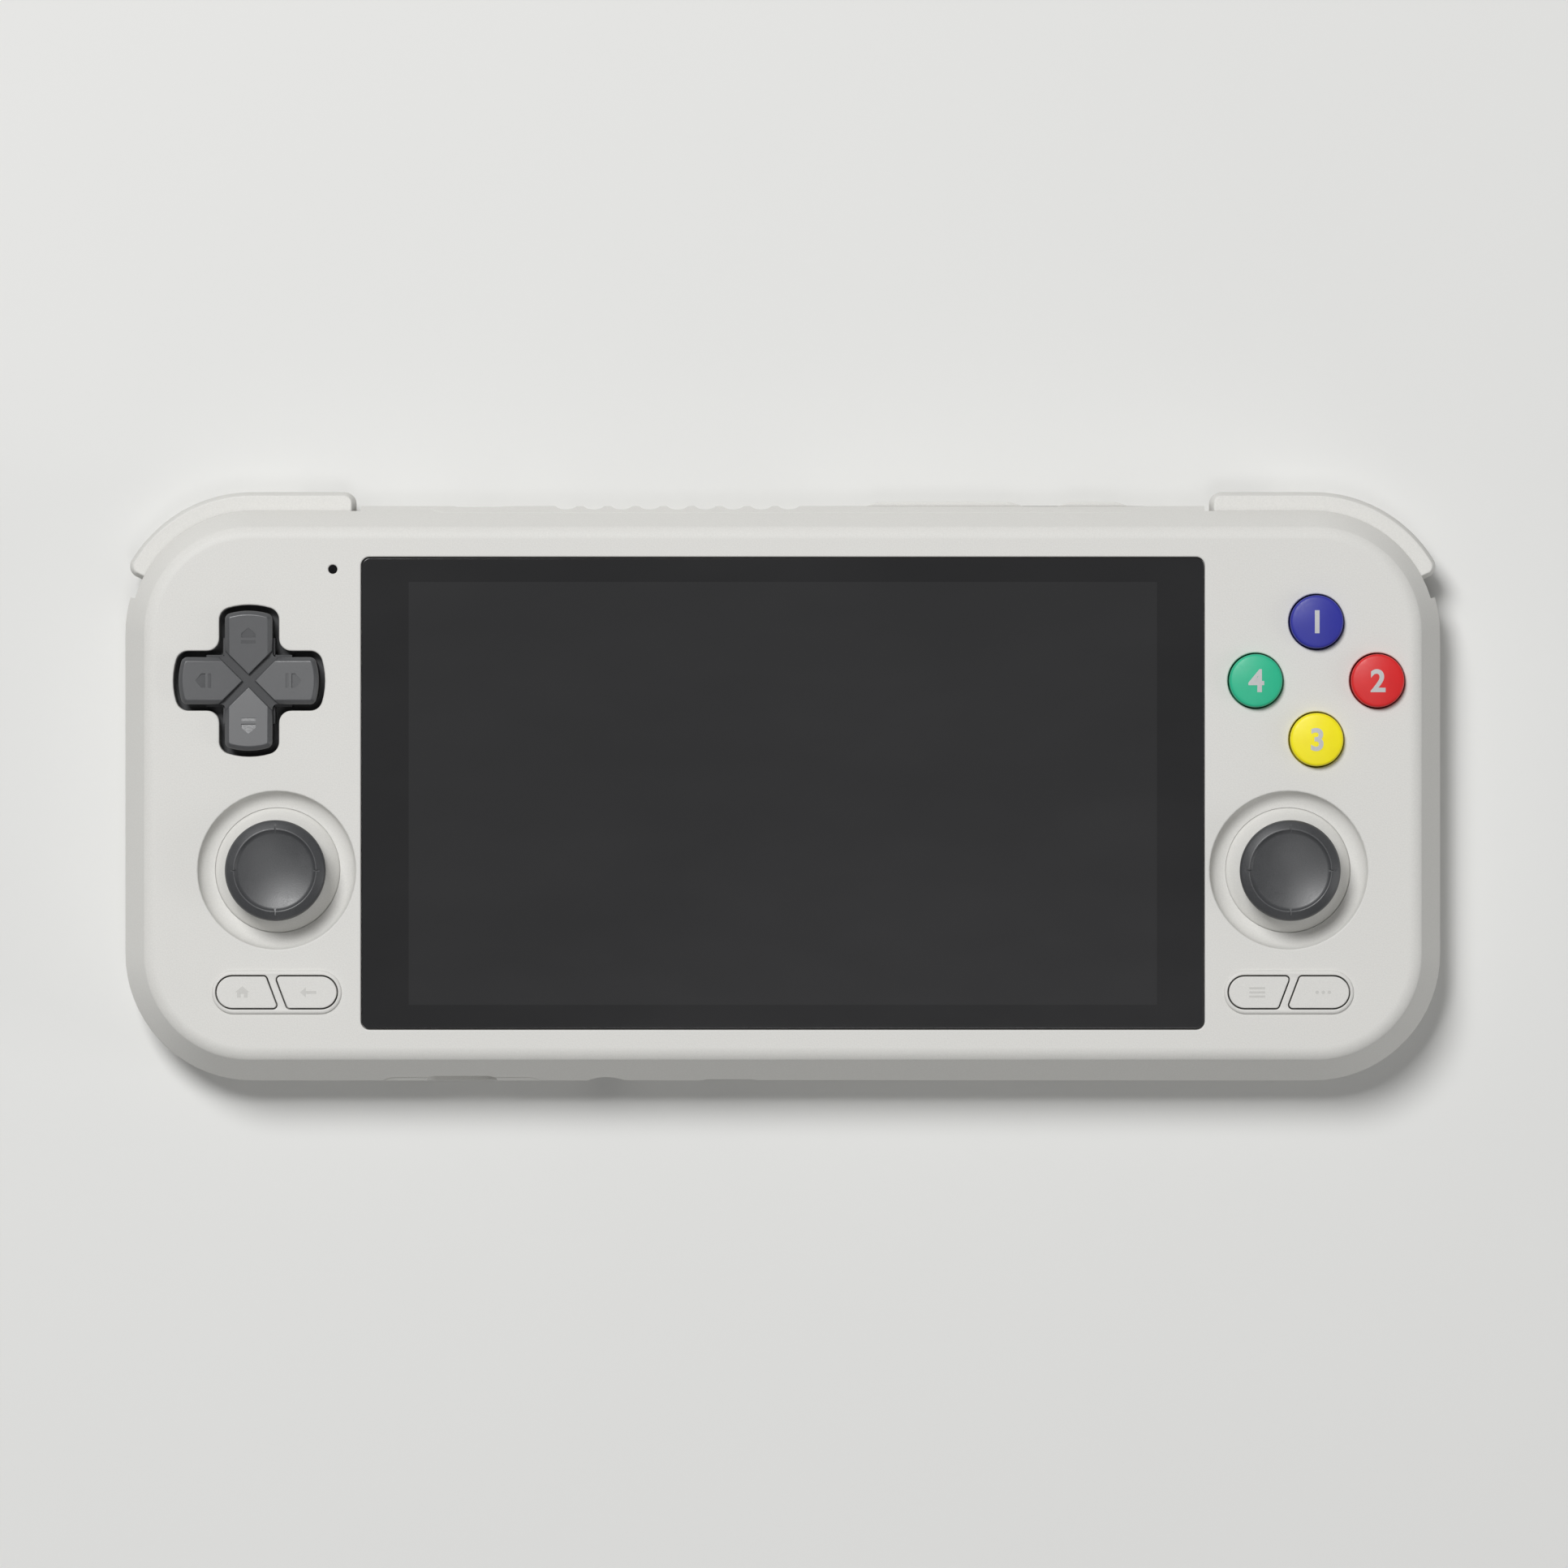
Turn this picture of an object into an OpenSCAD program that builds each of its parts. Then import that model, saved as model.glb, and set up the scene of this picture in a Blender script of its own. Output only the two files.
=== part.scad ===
// Handheld game console, lying on its back with the screen up.
// +X runs to the right of the screen, +Y to the shoulder edge and +Z out of the screen.
// The origin is the centre of the back face. Sizes are in millimetres.

/* [Body] */
// Height from the lower edge to the shoulder edge
body_h = 80.4; // [79.6:0.2:83]
// Thickness from the back to the face
body_t = 15; // [14.8:0.1:16]
// Corner radius of the outline
corner_r = 17.8; // [17:0.1:18.4]
// Height of the line where the shells meet
part_z = 7.5; // [7.4:0.05:7.7]
// How far the front side leans in up to its crease
crease_inset = 3; // [2.6:0.1:3.3]
// Drop from the face to the crease
crease_drop = 0.9; // [0.6:0.1:1.2]
// Distance in from the outline to the flat of the face
face_inset = 4.9; // [4.5:0.1:5.4]
// Edge radius of the back
back_r = 6; // [5.6:0.1:6.4]
// Wall of the sides and the back
wall = 1.8; // [1.6:0.05:2]
// Wall of the face
face_wall = 2; // [1.8:0.05:2.1]

/* [Fits] */
// Gap between fixed mouldings
seam = 0.12; // [0.06:0.02:0.2]
// Gap round a key in its hole
key_gap = 0.2; // [0.14:0.02:0.26]
// Radial clearance of a pin that turns
run_gap = 0.05; // [0.02:0.01:0.08]
// Radial clearance of a pin that is fixed
seat_gap = 0.02; // [0.01:0.01:0.03]

/* [Screen] */
// How far the glass reaches past the display at each side
glass_side = 4.3; // [3.5:0.1:6]
// How far the glass reaches past the display above and below
glass_end = 2.25; // [1.8:0.05:2.8]
// Corner radius of the glass
glass_r = 1.1; // [0.8:0.1:2]
// Thickness of the glass
glass_t = 0.95; // [0.8:0.05:1]
// How far the glass lies below the face
glass_sink = 0.1; // [0.05:0.05:0.2]
// Thickness of the adhesive gasket
gasket_t = 0.2; // [0.1:0.05:0.25]
// Width of the display panel
display_w = 108.5; // [96:0.5:121]
// Height of the display panel
display_h = 61; // [60:0.5:62]
// Thickness of the display panel
display_t = 2; // [1.8:0.1:2.2]
// Gap round the display panel in its window
display_gap = 0.4; // [0.2:0.1:0.6]
// Thickness of the plate behind the display
plate_t = 0.8; // [0.6:0.1:1]
// How far that plate reaches past the display
plate_rim = 1.8; // [1.5:0.1:2.2]

/* [Control columns] */
// Distance of the pad and face key centres from the side edge
pads_in = 17.8; // [17.4:0.1:18.4]
// Height of the pad and face key centres above the middle
pads_y = 15.65; // [15.2:0.05:16]
// Distance of the stick and menu pod centres from the side edge
stick_in = 21.64; // [21.4:0.02:21.8]
// Height of the stick centres, below the middle
stick_y = -10.7; // [-11:0.1:-10.5]
// Height of the menu pod centres, below the middle
menu_y = -27.65; // [-28:0.05:-27.4]
// Width of a control column from the side edge to the glass
column_w = 33.45; // [33.2:0.05:36]
// Thickness of a control board
board_t = 1; // [0.8:0.1:1.2]
// Thickness of the rubber sheets on the control boards
sheet_t = 0.5; // [0.4:0.05:0.6]
// Thickness of the flange on a key
flange_t = 1; // [0.8:0.1:1.1]
// Reach of the flange past a key
flange_w = 0.9; // [0.7:0.1:1]
// Distance from a key's flange to the face above it
flange_gap = 0.1; // [0.05:0.05:0.15]

/* [Direction pad] */
// Radius of the pad's hole to the ends of its arms
pad_r = 10.55; // [10:0.05:10.8]
// Width of the hole's arms
pad_arm = 8.3; // [7.8:0.1:8.6]
// Gap round the pad
pad_gap = 0.85; // [0.5:0.05:0.9]
// Corner radius of the hole
pad_corner = 1.7; // [1.4:0.1:1.9]
// Height of the pad above the face
pad_rise = 1.8; // [1.4:0.1:2.2]
// Tilt of the pad to each side, in degrees
pad_tilt = 3.5; // [2:0.5:3.5]
// Radius of the pivot bead
bead_r = 1.25; // [1.15:0.05:1.3]
// Radius of the nub under the pad
nub_r = 0.7; // [0.6:0.05:0.75]

/* [Face keys] */
// Distance of the left and right keys from the middle of the four
face_dx = 8.46; // [8:0.1:8.6]
// Distance of the upper and lower keys from the middle of the four
face_dy = 8.18; // [8:0.1:8.4]
// Radius of a face key
face_r = 3.7; // [3.4:0.05:3.8]
// Height of a face key above the face
face_rise = 1.6; // [1.4:0.1:2]
// Travel of a face key
face_travel = 1.2; // [0.8:0.1:1.3]
// Edge radius of a face key
face_edge = 0.6; // [0.4:0.1:0.8]
// Height of the dome on a face key
face_dome = 0.12; // [0.05:0.01:0.2]

/* [Menu keys] */
// Length of a pod
pod_w = 18.1; // [17.6:0.1:18.4]
// Height of a pod
pod_h = 6.1; // [5.8:0.1:6.4]
// How far a pod stands above the face
pod_rise = 0.4; // [0.2:0.05:0.6]
// Width of the pods' soft edge
pod_soft = 0.45; // [0.3:0.05:0.5]
// Length of a pair of keys
keys_w = 16.7; // [16.2:0.1:16.9]
// Height of a pair of keys
keys_h = 4.4; // [4:0.1:4.6]
// Width of the slanted rib between the keys
rib_w = 1.4; // [1.2:0.1:1.6]
// Sideways run of the rib for each unit of its height
rib_slant = 0.38; // [0.3:0.02:0.46]
// Corner radius of a key
menu_corner = 0.45; // [0.3:0.05:0.6]
// Height of a menu key above its pod
menu_rise = 0.15; // [0.05:0.05:0.3]

/* [Sticks] */
// Radius of the well round a stick
well_r = 11; // [10.6:0.1:11.1]
// Depth of the well
well_depth = 2.2; // [2:0.1:2.4]
// Radius of the well's floor opening
ring_r = 8.6; // [8.4:0.05:8.7]
// Floor of the well and its rim
well_floor = 1.2; // [1:0.1:1.3]
// Depth of the stick's pivot below the face
pivot_depth = 8.5; // [8.4:0.05:8.6]
// Gap between the domed skirt and the shell
dome_gap = 0.12; // [0.08:0.02:0.2]
// Wall of the domed skirt
dome_t = 1.1; // [0.9:0.1:1.2]
// Radius of the cap
cap_r = 7; // [6.6:0.1:7.2]
// Height of the cap's rim above the face
cap_rise = 4.3; // [4.1:0.1:4.8]
// Radius of the ridge on the cap
ridge_r = 5.8; // [5.4:0.1:6]
// Depth of the dish in the cap
dish = 0.9; // [0.4:0.1:1]
// Tilt of a stick about each axis, in degrees
stick_tilt = 15; // [10:1:16]
// Travel of a stick's click
stick_click = 0.4; // [0.2:0.1:0.5]
// Radius of a stick's post
post_r = 1.25; // [1.1:0.05:1.3]
// Radius of a stick's trunnions
trunnion_r = 0.75; // [0.65:0.05:0.8]
// Outer radius of a stick's housing
housing_r = 7.6; // [7.4:0.05:7.7]

/* [Shoulder keys] */
// How far a bumper stands out of the outline
bumper_out = 1.95; // [1.6:0.05:2.1]
// Depth of a bumper from front to back
bumper_depth = 5.5; // [5.2:0.1:5.7]
// Thickness of a bumper
bumper_t = 3.9; // [3.7:0.05:4]
// Angle that a bumper reaches round the corner, in degrees
bumper_a = 64; // [60:1:65]
// Straight length of a bumper past the corner
bumper_run = 14.45; // [14:0.05:14.8]
// Corner radius of a bumper's ends
bumper_end = 1.6; // [1.2:0.1:1.8]
// Edge radius of a bumper
bumper_edge = 0.6; // [0.3:0.1:0.8]
// How much smaller the trigger's outline is
trigger_in = 0.45; // [0.3:0.05:0.6]
// Depth of a trigger from front to back
trigger_depth = 4.7; // [4.4:0.1:4.8]
// Angle that a trigger reaches round the corner, in degrees
trigger_a = 56; // [50:1:57]
// Edge radius of a trigger
trigger_edge = 1.5; // [1:0.1:2]
// Height of the trigger above the back
trigger_back = 0.4; // [0.3:0.05:0.6]
// Gap between the bumper, the trigger and the shell
shoulder_gap = 0.25; // [0.2:0.01:0.3]
// Height of the shoulder slot above the parting line
lip_rise = 1.65; // [1.5:0.05:1.75]
// Room behind a bumper for its travel and switch
shoulder_room = 3.05; // [2.9:0.05:3.1]
// Angle that the shoulder slot reaches round the corner, in degrees
slot_a = 73.5; // [72:0.5:74.5]
// Gap at the inner end of a bumper
slot_end = 0.75; // [0.6:0.05:0.9]
// Wall behind a shoulder slot
slot_wall = 1.2; // [1:0.1:1.3]
// Radius of a shoulder pin
pin_r = 0.9; // [0.8:0.05:0.95]
// Radius of the eye round a shoulder pin
eye_r = 2; // [1.8:0.05:2.1]

/* [Top strip] */
// Distance from the strip's ends to the control columns
strip_in = 6.5; // [6:0.1:7.5]
// How much shorter the strip is at its front edge, each end
strip_slant = 3.7; // [3:0.1:4.4]
// Height of the strip above the parting line
strip_rise = 2.2; // [2:0.1:2.3]
// Depth of the strip below the parting line
strip_fall = 4; // [3.9:0.1:4.2]
// Thickness of the strip
strip_t = 2; // [1.8:0.1:2.1]
// Number of vents
vent_count = 9; // [5:1:9]
// Distance between vents
vent_pitch = 3.9; // [3.6:0.1:4]
// Width of a vent
vent_w = 2.9; // [2.4:0.1:3]
// Height of a vent
vent_h = 4.4; // [4:0.1:4.6]
// Distance from the left column to the middle vent
vent_x = 42.75; // [41.5:0.25:43.5]
// Distance from the right column to the volume rocker
volume_x = 34.9; // [34.3:0.1:35.5]
// Length of the volume rocker
volume_w = 22.3; // [20:0.1:22.6]
// Distance from the right column to the power key
power_x = 14.05; // [13.7:0.05:14.5]
// Length of the power key
power_w = 10.2; // [9:0.1:10.4]
// How far these keys stand out
side_key_out = 0.57; // [0.4:0.01:0.7]
// Height of these keys
side_key_h = 3.4; // [3:0.1:3.5]
// Rocking of the volume rocker to each side, in degrees
volume_turn = 1.5; // [1:0.1:1.6]
// Travel of the power key
power_travel = 0.4; // [0.2:0.05:0.45]

/* [Sockets] */
// Distance from the left column to the video socket
video_x = 15; // [14.5:0.1:16.5]
// Width of the video socket
video_w = 6.6; // [6:0.1:7]
// Height of the video socket
video_h = 3; // [2.8:0.1:3.2]
// Distance from the left column to the USB socket
usb_x = 50.1; // [49.5:0.1:51.5]
// Width of the USB socket
usb_w = 8.94; // [8.8:0.02:9.1]
// Height of the USB socket
usb_h = 3.26; // [3.2:0.02:3.3]
// Wall of the socket shells
socket_t = 0.3; // [0.25:0.05:0.35]
// Distance from the left column to the headphone socket
jack_x = 32.8; // [32.5:0.1:33.5]
// Height of the headphone socket above the back
jack_z = 5.2; // [5:0.05:5.3]
// Bore radius of the headphone socket
jack_r = 1.8; // [1.75:0.05:1.9]
// Depth of the headphone bore
jack_depth = 12; // [11:0.5:13]
// Radius of the plug recess
recess_r = 3.45; // [3.2:0.05:3.5]
// Distance from the left column to the card cover
card_x = 12.6; // [11.5:0.1:13.5]
// Length of the card cover
card_w = 22.4; // [21:0.1:22.8]
// Height of the card cover
card_h = 5; // [4.8:0.05:5.1]
// Thickness of the card cover
card_t = 1.2; // [1:0.1:1.3]
// Width of the nail recess
nail_w = 9.7; // [8:0.1:11]
// Radius of the card cover's hinge pins
card_pin_r = 0.4; // [0.35:0.05:0.45]

/* [Inside] */
// Thickness of the main board
main_t = 1; // [0.8:0.1:1.1]
// Height of the main board above the back wall
main_rise = 1.6; // [1.4:0.1:1.7]
// Gap between the fan and the battery
battery_gap = 5.05; // [4:0.05:10]
// Height of the battery
battery_h = 56; // [50:0.5:57]
// Thickness of the battery
battery_t = 5; // [4.4:0.1:5.2]
// Width of the fan housing
fan_w = 32; // [30:0.5:33]
// Height of the fan housing
fan_h = 27; // [26:0.5:27.5]
// Thickness of the fan housing
fan_t = 6; // [5.4:0.1:6.2]
// Wall of the fan housing
fan_wall = 0.7; // [0.6:0.05:0.8]
// Radius of the fan rotor
rotor_r = 11.6; // [11:0.1:11.8]
// Radius of the fan shaft
shaft_r = 0.8; // [0.7:0.05:0.9]
// Number of blades
blade_count = 11; // [7:1:13]
// Width of a speaker
speaker_w = 16; // [14:0.5:16.5]
// Height of a speaker
speaker_h = 8.6; // [8:0.1:8.8]
// Thickness of a speaker
speaker_t = 4; // [3.4:0.1:4.2]
// Radius of a case screw
screw_r = 0.9; // [0.8:0.05:1]
// Radius of a screw head
head_r = 1.9; // [1.7:0.05:2]
// Height of a screw head
head_h = 1; // [0.8:0.1:1.1]
// Radius of a screw boss
boss_r = 2.5; // [2.3:0.05:2.6]
// Radius of the light pipe
light_r = 0.5; // [0.4:0.05:0.55]
// Wire radius of the trigger springs
wire_r = 0.16; // [0.12:0.01:0.18]
// Coil radius of the trigger springs
coil_r = 1.1; // [0.9:0.05:1.15]
// Turns of the trigger springs
coil_turns = 5; // [3:1:5]

/* [Hidden] */
$fn = 64;
arc_steps = 6;
round_fn = 32;
over = 1;
left = -1;
right = 1;

shell_colour = [0.85, 0.85, 0.83];
key_colour = [0.42, 0.42, 0.43];
board_colour = [0.1, 0.3, 0.2];
metal_colour = [0.7, 0.7, 0.72];
dark_colour = [0.18, 0.18, 0.19];
rubber_colour = [0.75, 0.75, 0.72];

// Heights
face_z = body_t;
cav_z = face_z - face_wall;
floor_z = wall;
key_room = 0.8;
board_z = cav_z - flange_gap - flange_t - face_travel - sheet_t - key_room;
sheet_z = board_z + sheet_t;
flange_z1 = cav_z - flange_gap;
flange_z0 = flange_z1 - flange_t;
glass_z1 = face_z - glass_sink;
glass_z0 = glass_z1 - glass_t;
ledge_z = glass_z0 - gasket_t;
display_z0 = glass_z0 - display_t;
plate_z0 = display_z0 - plate_t;
main_z0 = floor_z + main_rise;
main_z1 = main_z0 + main_t;

// Widths, from the display outwards
glass_w = display_w + 2 * glass_side;
glass_h = display_h + 2 * glass_end;
body_w = glass_w + 2 * column_w;
column_lap = 1.05;
column_x = glass_w / 2 - column_lap;

// Outline of the body as pairs of inset and height
lean = crease_inset / (face_z - crease_drop - part_z);
edge_w = face_inset - crease_inset;
edge_r = (edge_w * edge_w + crease_drop * crease_drop) / (2 * crease_drop);
edge_a = asin(edge_w / edge_r);
face_edge_pts = [for (i = [0 : arc_steps]) let (a = edge_a * (1 - i / arc_steps))
  [face_inset - edge_r * sin(a), face_z - edge_r * (1 - cos(a))]];
back_edge_pts = [for (i = [0 : arc_steps]) let (a = 90 * i / arc_steps) back_r * [1 - sin(a), 1 - cos(a)]];
inner_r = back_r - wall;
inner_edge_pts = [for (i = [0 : arc_steps]) let (a = 90 * i / arc_steps)
  [back_r - inner_r * sin(a), back_r - inner_r * cos(a)]];
front_outer = concat([[0, part_z]], face_edge_pts);
front_inner = [[wall, part_z - over], [wall, part_z], [wall + lean * (cav_z - part_z), cav_z]];
rear_outer = concat(back_edge_pts, [[0, part_z]]);
rear_inner = concat(inner_edge_pts, [[wall, part_z + over]]);
whole_outer = concat(rear_outer, face_edge_pts);

// Places of the controls, on the left column
pads_c = [-(body_w / 2 - pads_in), pads_y];
stick_c = [-(body_w / 2 - stick_in), stick_y];
menu_c = [stick_c[0], menu_y];
board_posts = [pads_c + [10.7, -9.2], pads_c + [-7.8, -12.8], stick_c + [9.6, -10.8], stick_c + [-9.8, -9.6]];
post_boss_r = 1.3;
light_c = [-(column_x + 5.07), body_h / 2 - 9.05];
light_flange_r = 0.9;
light_flange_t = 0.8;
screw_in = 6.6;
screws = [[-(body_w / 2 - 9.5), -body_h / 2 + 13], [-(body_w / 2 - screw_in), 3.6],
  [-(column_x - 3), body_h / 2 - 5.4]];
screw_z0 = 0.4;
screw_len = 10;
drive = [2.3, 0.6, 0.6];

// Direction pad
pad_top = face_z + pad_rise;
pad_flange_r = pad_r + flange_w;
pad_flange_lap = 0.3;
pad_flange_arm = pad_arm + 2 * pad_flange_lap;
pad_lift = (pad_flange_r + pad_flange_arm / 2) * sin(pad_tilt) + 0.18;
pad_flange_z1 = cav_z - pad_lift;
pad_flange_z0 = pad_flange_z1 - flange_t * 0.8;
pad_pivot = [pads_c[0], pads_c[1], board_z + bead_r + 0.1];
bead_cut = 0.12;
seat_h = 0.9;
seat_r = 2.2;
pad_step = 0.5;
groove_w = 1.2;
groove_d = 0.75;
collar_l = 11.9;
collar_gap = 0.55;
collar_drop = 0.3;
mark_d = 0.25;
pad_arrow = [[6, -1], [6.53, -1], [7.38, 0], [6.53, 1], [6, 1]];
pad_bar = [[5.17, -1], [5.6, -1], [5.6, 1], [5.17, 1]];
dome_room = 0.05;

// Sticks
pivot_z = face_z - pivot_depth;
well_z = face_z - well_depth;
dome_r = sqrt(ring_r * ring_r + (well_z - pivot_z) * (well_z - pivot_z));
skirt_a = asin(ring_r / dome_r) + acos(cos(stick_tilt) * cos(stick_tilt)) + 1.5;
cap_z0 = pivot_z + dome_r + 0.15;
cap_z1 = face_z + cap_rise;
post_low = 1.9;
post_z1 = cap_z1 - dish - 0.5;
rocker_r = 2.6;
rocker_h = 1.5;
yoke_in = 3.2;
yoke_out = 4.6;
yoke_h = 1.4;
housing_in = 5.5;
housing_rise = 1.7;
housing_base = 1.2;
base_w = 17;
click_room = 0.6;
click_z = pivot_z - post_low - stick_click - click_room;
notch_w = 0.7;
notch_l = 1.8;
notch_d = 0.2;

// Shoulder keys, seen from the middle of the left corner
corner_c = [-(body_w / 2 - corner_r), body_h / 2 - corner_r];
lip_z = part_z + lip_rise;
bumper_r = corner_r + bumper_out;
bumper_in_r = bumper_r - bumper_depth;
bumper_z1 = lip_z - shoulder_gap;
bumper_z0 = bumper_z1 - bumper_t;
trigger_r = bumper_r - trigger_in;
trigger_in_r = trigger_r - trigger_depth;
trigger_z1 = bumper_z0 - shoulder_gap;
slot_r = bumper_in_r - shoulder_room;
slot_run = bumper_run + slot_end;
slot_reach = 30;
ceiling_t = 1.2;
pin_c = [bumper_run - 2.65, slot_r + 2.6];
pin_z0 = 1;
pin_z1 = lip_z + 1.8;
lug_x = bumper_run - 7.2;
lug_z = floor_z + 0.4;
lug_gap = 0.9;
spring_a = 35;
spring_seat = 1.7;
spring_z = (trigger_back + trigger_z1) / 2;
spring_y0 = slot_r + wire_r + 0.15;
spring_y1 = trigger_in_r + spring_seat - wire_r - 0.1;
coil_rings = 8 * coil_turns;
coil_sides = 6;
coil_step = (spring_y1 - spring_y0) / coil_turns - 2 * wire_r;
echo(spring_gap = coil_step);
trigger_run = bumper_run - 0.7;
switch_a = 18;
switch_body = [3.4, 1.4, 2.8];
knob_r = 0.8;
knob = 0.5;

// Top strip
strip_w = 2 * (column_x - strip_in);
vent_at = vent_x - column_x;
vent_drop = 1.2;
volume_at = column_x - volume_x;
power_at = column_x - power_x;
strip_z1 = part_z + strip_rise;
strip_z0 = part_z - strip_fall;
side_key_z = part_z - 0.25 - side_key_h / 2;
side_flange = key_gap + 0.15;
side_slope = 1.9;
strip_y = body_h / 2 - strip_t;
key_flange = 0.8;
fulcrum_r = (volume_w / 2 + flange_w) * sin(volume_turn) + 0.035;
key_flange_y1 = strip_y - fulcrum_r - 0.05;
key_flange_y0 = key_flange_y1 - key_flange;
key_board_y = body_h / 2 - 5.8;
key_board_t = 0.8;
key_board_z0 = floor_z + 0.6;
key_board_z1 = part_z + 0.6;
switch_gap = power_travel + 0.1;
side_switch = [4, 3];
side_switch_at = 7;
board_foot = [2, 1.6];

// Sockets
video_at = video_x - column_x;
usb_at = usb_x - column_x;
jack_at = jack_x - column_x;
card_at = card_x - column_x;
video_z = main_z1 + video_h / 2;
usb_z = main_z1 + usb_h / 2;
socket_y = body_h / 2 - wall - 0.2;
socket_len = 7.3;
jack_body = [6.2, 5];
card_z0 = 3.4;
card_y = -body_h / 2 + card_t;
card_axis = [-body_h / 2 + 1, card_z0 + 0.9];
card_knuckle_r = 0.6;
card_top_r = card_h / 2.4;
card_foot_r = 0.4;
card_relief_r = 1.8;
card_room = 2.7;
card_back = card_room + 1.2;
card_lug_x = 6;
card_lug_w = 1.4;
card_lug_y = 0.6;
card_lug_drop = 1;
card_slot_z = main_z1 + 0.8;
card_mouth = [12, 1.2];
card_slot = [11.4, 13.5, 0.9];
reader = [13, 14, 1.6];
nail_h = 2.6;
nail_d = 0.9;

// Inside
fan_in = 21.2;
fan_c = [vent_at, body_h / 2 - fan_in];
fan_room = 0.9;
fin_t = 0.4;
fin_pitch = 2;
fin_depth = 4;
battery_side = 2.2;
battery_up = 8;
battery_x0 = fan_c[0] + fan_w / 2 + battery_gap;
battery_w = column_x - battery_side - battery_x0;
battery_c = [battery_x0 + battery_w / 2, -body_h / 2 + battery_up + battery_h / 2];
board_end = battery_x0 - 3.3;
board_up = 4.4;
board_down = 9;
board_feet_x = [-column_x + 7, jack_at - 5.3, board_end - 6];
board_feet_y = [-body_h / 2 + 12, -4];
column_board = [7, 7.2, 10.4];
grille_slot = 1.4;
grille_pitch = 3;
grille_r = 11;
ribbon_t = 0.2;
ribbon_y = menu_y - 3.4;
ribbon_w = 6.4;

// A point list along an arc
function arc(c, r, a0, a1, steps = arc_steps) =
  [for (i = [0 : steps]) let (a = a0 + (a1 - a0) * i / steps) c + r * [cos(a), sin(a)]];

// Repeats its children in the other half of the body
module both_sides() {
  children();
  mirror([1, 0, 0]) children();
}

// Puts left-hand children on the given side
module on_side(side) {
  if (side == left) children();
  if (side == right) mirror([1, 0, 0]) children();
}

// The body's outline swept through pairs of inset and height
module slab(pairs) {
  z0 = pairs[0][1];
  z1 = pairs[len(pairs) - 1][1];
  edge = concat([[0, z0]], [for (p = pairs) [corner_r - p[0], p[1]]], [[0, z1]]);
  half = body_h / 2;
  low = [for (p = pairs) [half - p[0], p[1]]];
  high = [for (i = [len(pairs) - 1 : -1 : 0]) [pairs[i][0] - half, pairs[i][1]]];
  both_sides() {
    for (turn = [0, 1])
      mirror([0, turn, 0]) translate([body_w / 2 - corner_r, body_h / 2 - corner_r, 0])
        rotate_extrude(angle = 90) polygon(edge);
    translate([body_w / 2 - corner_r, 0, 0])
      rotate([90, 0, 0]) linear_extrude(body_h - 2 * corner_r, center = true) polygon(edge);
  }
  rotate([90, 0, 90]) linear_extrude(body_w - 2 * corner_r, center = true) polygon(concat(low, high));
}

// Rectangle with round corners
module round_rect(w, h, r) {
  square([w - 2 * r, h], center = true);
  square([w, h - 2 * r], center = true);
  for (x = [-1, 1], y = [-1, 1])
    translate([x * (w / 2 - r), y * (h / 2 - r)]) circle(r);
}

// Flat outline with round ends
module stadium(w, h) {
  square([w - h, h], center = true);
  for (x = [-1, 1])
    translate([x * (w - h) / 2, 0]) circle(h / 2);
}

// Upright plan drawn at a height
module plate(z0, z1) {
  translate([0, 0, z0]) linear_extrude(z1 - z0) children();
}

// An outline in X and Z, extruded along Y
module along_y(y0, y1) {
  translate([0, y1, 0]) rotate([90, 0, 0]) linear_extrude(y1 - y0) children();
}

// Upright cylinder between two heights
module rod(r, z0, z1) {
  translate([0, 0, z0]) cylinder(r = r, h = z1 - z0);
}

// A cross with convex ends and round corners
module cross_plan(r, arm, corner) {
  $fn = round_fn;
  offset(r = corner) offset(r = -2 * corner) offset(r = corner)
    intersection() {
      circle(r, $fn = 2 * round_fn);
      union() {
        square([2 * r, arm], center = true);
        square([arm, 2 * r], center = true);
      }
    }
}

// One menu key of a left-hand pair: end is left for the outer key and right for the inner
module menu_plan(end, grow = 0) {
  reach = keys_h;
  offset(r = grow, $fn = round_fn) offset(r = menu_corner, $fn = round_fn) offset(delta = -menu_corner)
    intersection() {
      stadium(keys_w, keys_h);
      polygon([[end * rib_w / 2 - rib_slant * reach, reach], [end * keys_w, reach],
        [end * keys_w, -reach], [end * rib_w / 2 + rib_slant * reach, -reach]]);
    }
}

// Places of the four face keys round the middle of their group
function face_place(turn) = [face_dx * cos(turn), face_dy * sin(turn)];

// Moves children from the corner's own frame to the left corner
module at_corner() {
  translate([corner_c[0], corner_c[1], 0]) children();
}

// Plan of a shoulder slot in the corner's frame
module slot_plan(r, a, run) {
  difference() {
    polygon([[0, 0], [0, slot_reach], [-slot_reach, slot_reach], [-slot_reach, slot_reach / tan(a)]]);
    circle(r);
  }
  translate([0, r]) square([run, slot_reach - r]);
}

// A shoulder key's bar: round the corner, then straight on
module shoulder_bar(pairs, a, run) {
  rotate(90) rotate_extrude(angle = a) polygon(pairs);
  rotate([90, 0, 90]) linear_extrude(run) polygon(pairs);
}

// Rounds the two outer corners of a shoulder key's plan
module shoulder_ends(r, a, run, z0, z1) {
  plate(z0, z1) {
    translate([run - bumper_end, r - bumper_end]) difference() {
      square(bumper_end + over);
      circle(bumper_end);
    }
    tip_y = sqrt((r - bumper_end) * (r - bumper_end) - bumper_end * bumper_end);
    rotate(a) difference() {
      translate([-over, tip_y]) square([bumper_end + over, bumper_end + 2 * over]);
      translate([bumper_end, tip_y]) circle(bumper_end);
    }
  }
}

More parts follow.
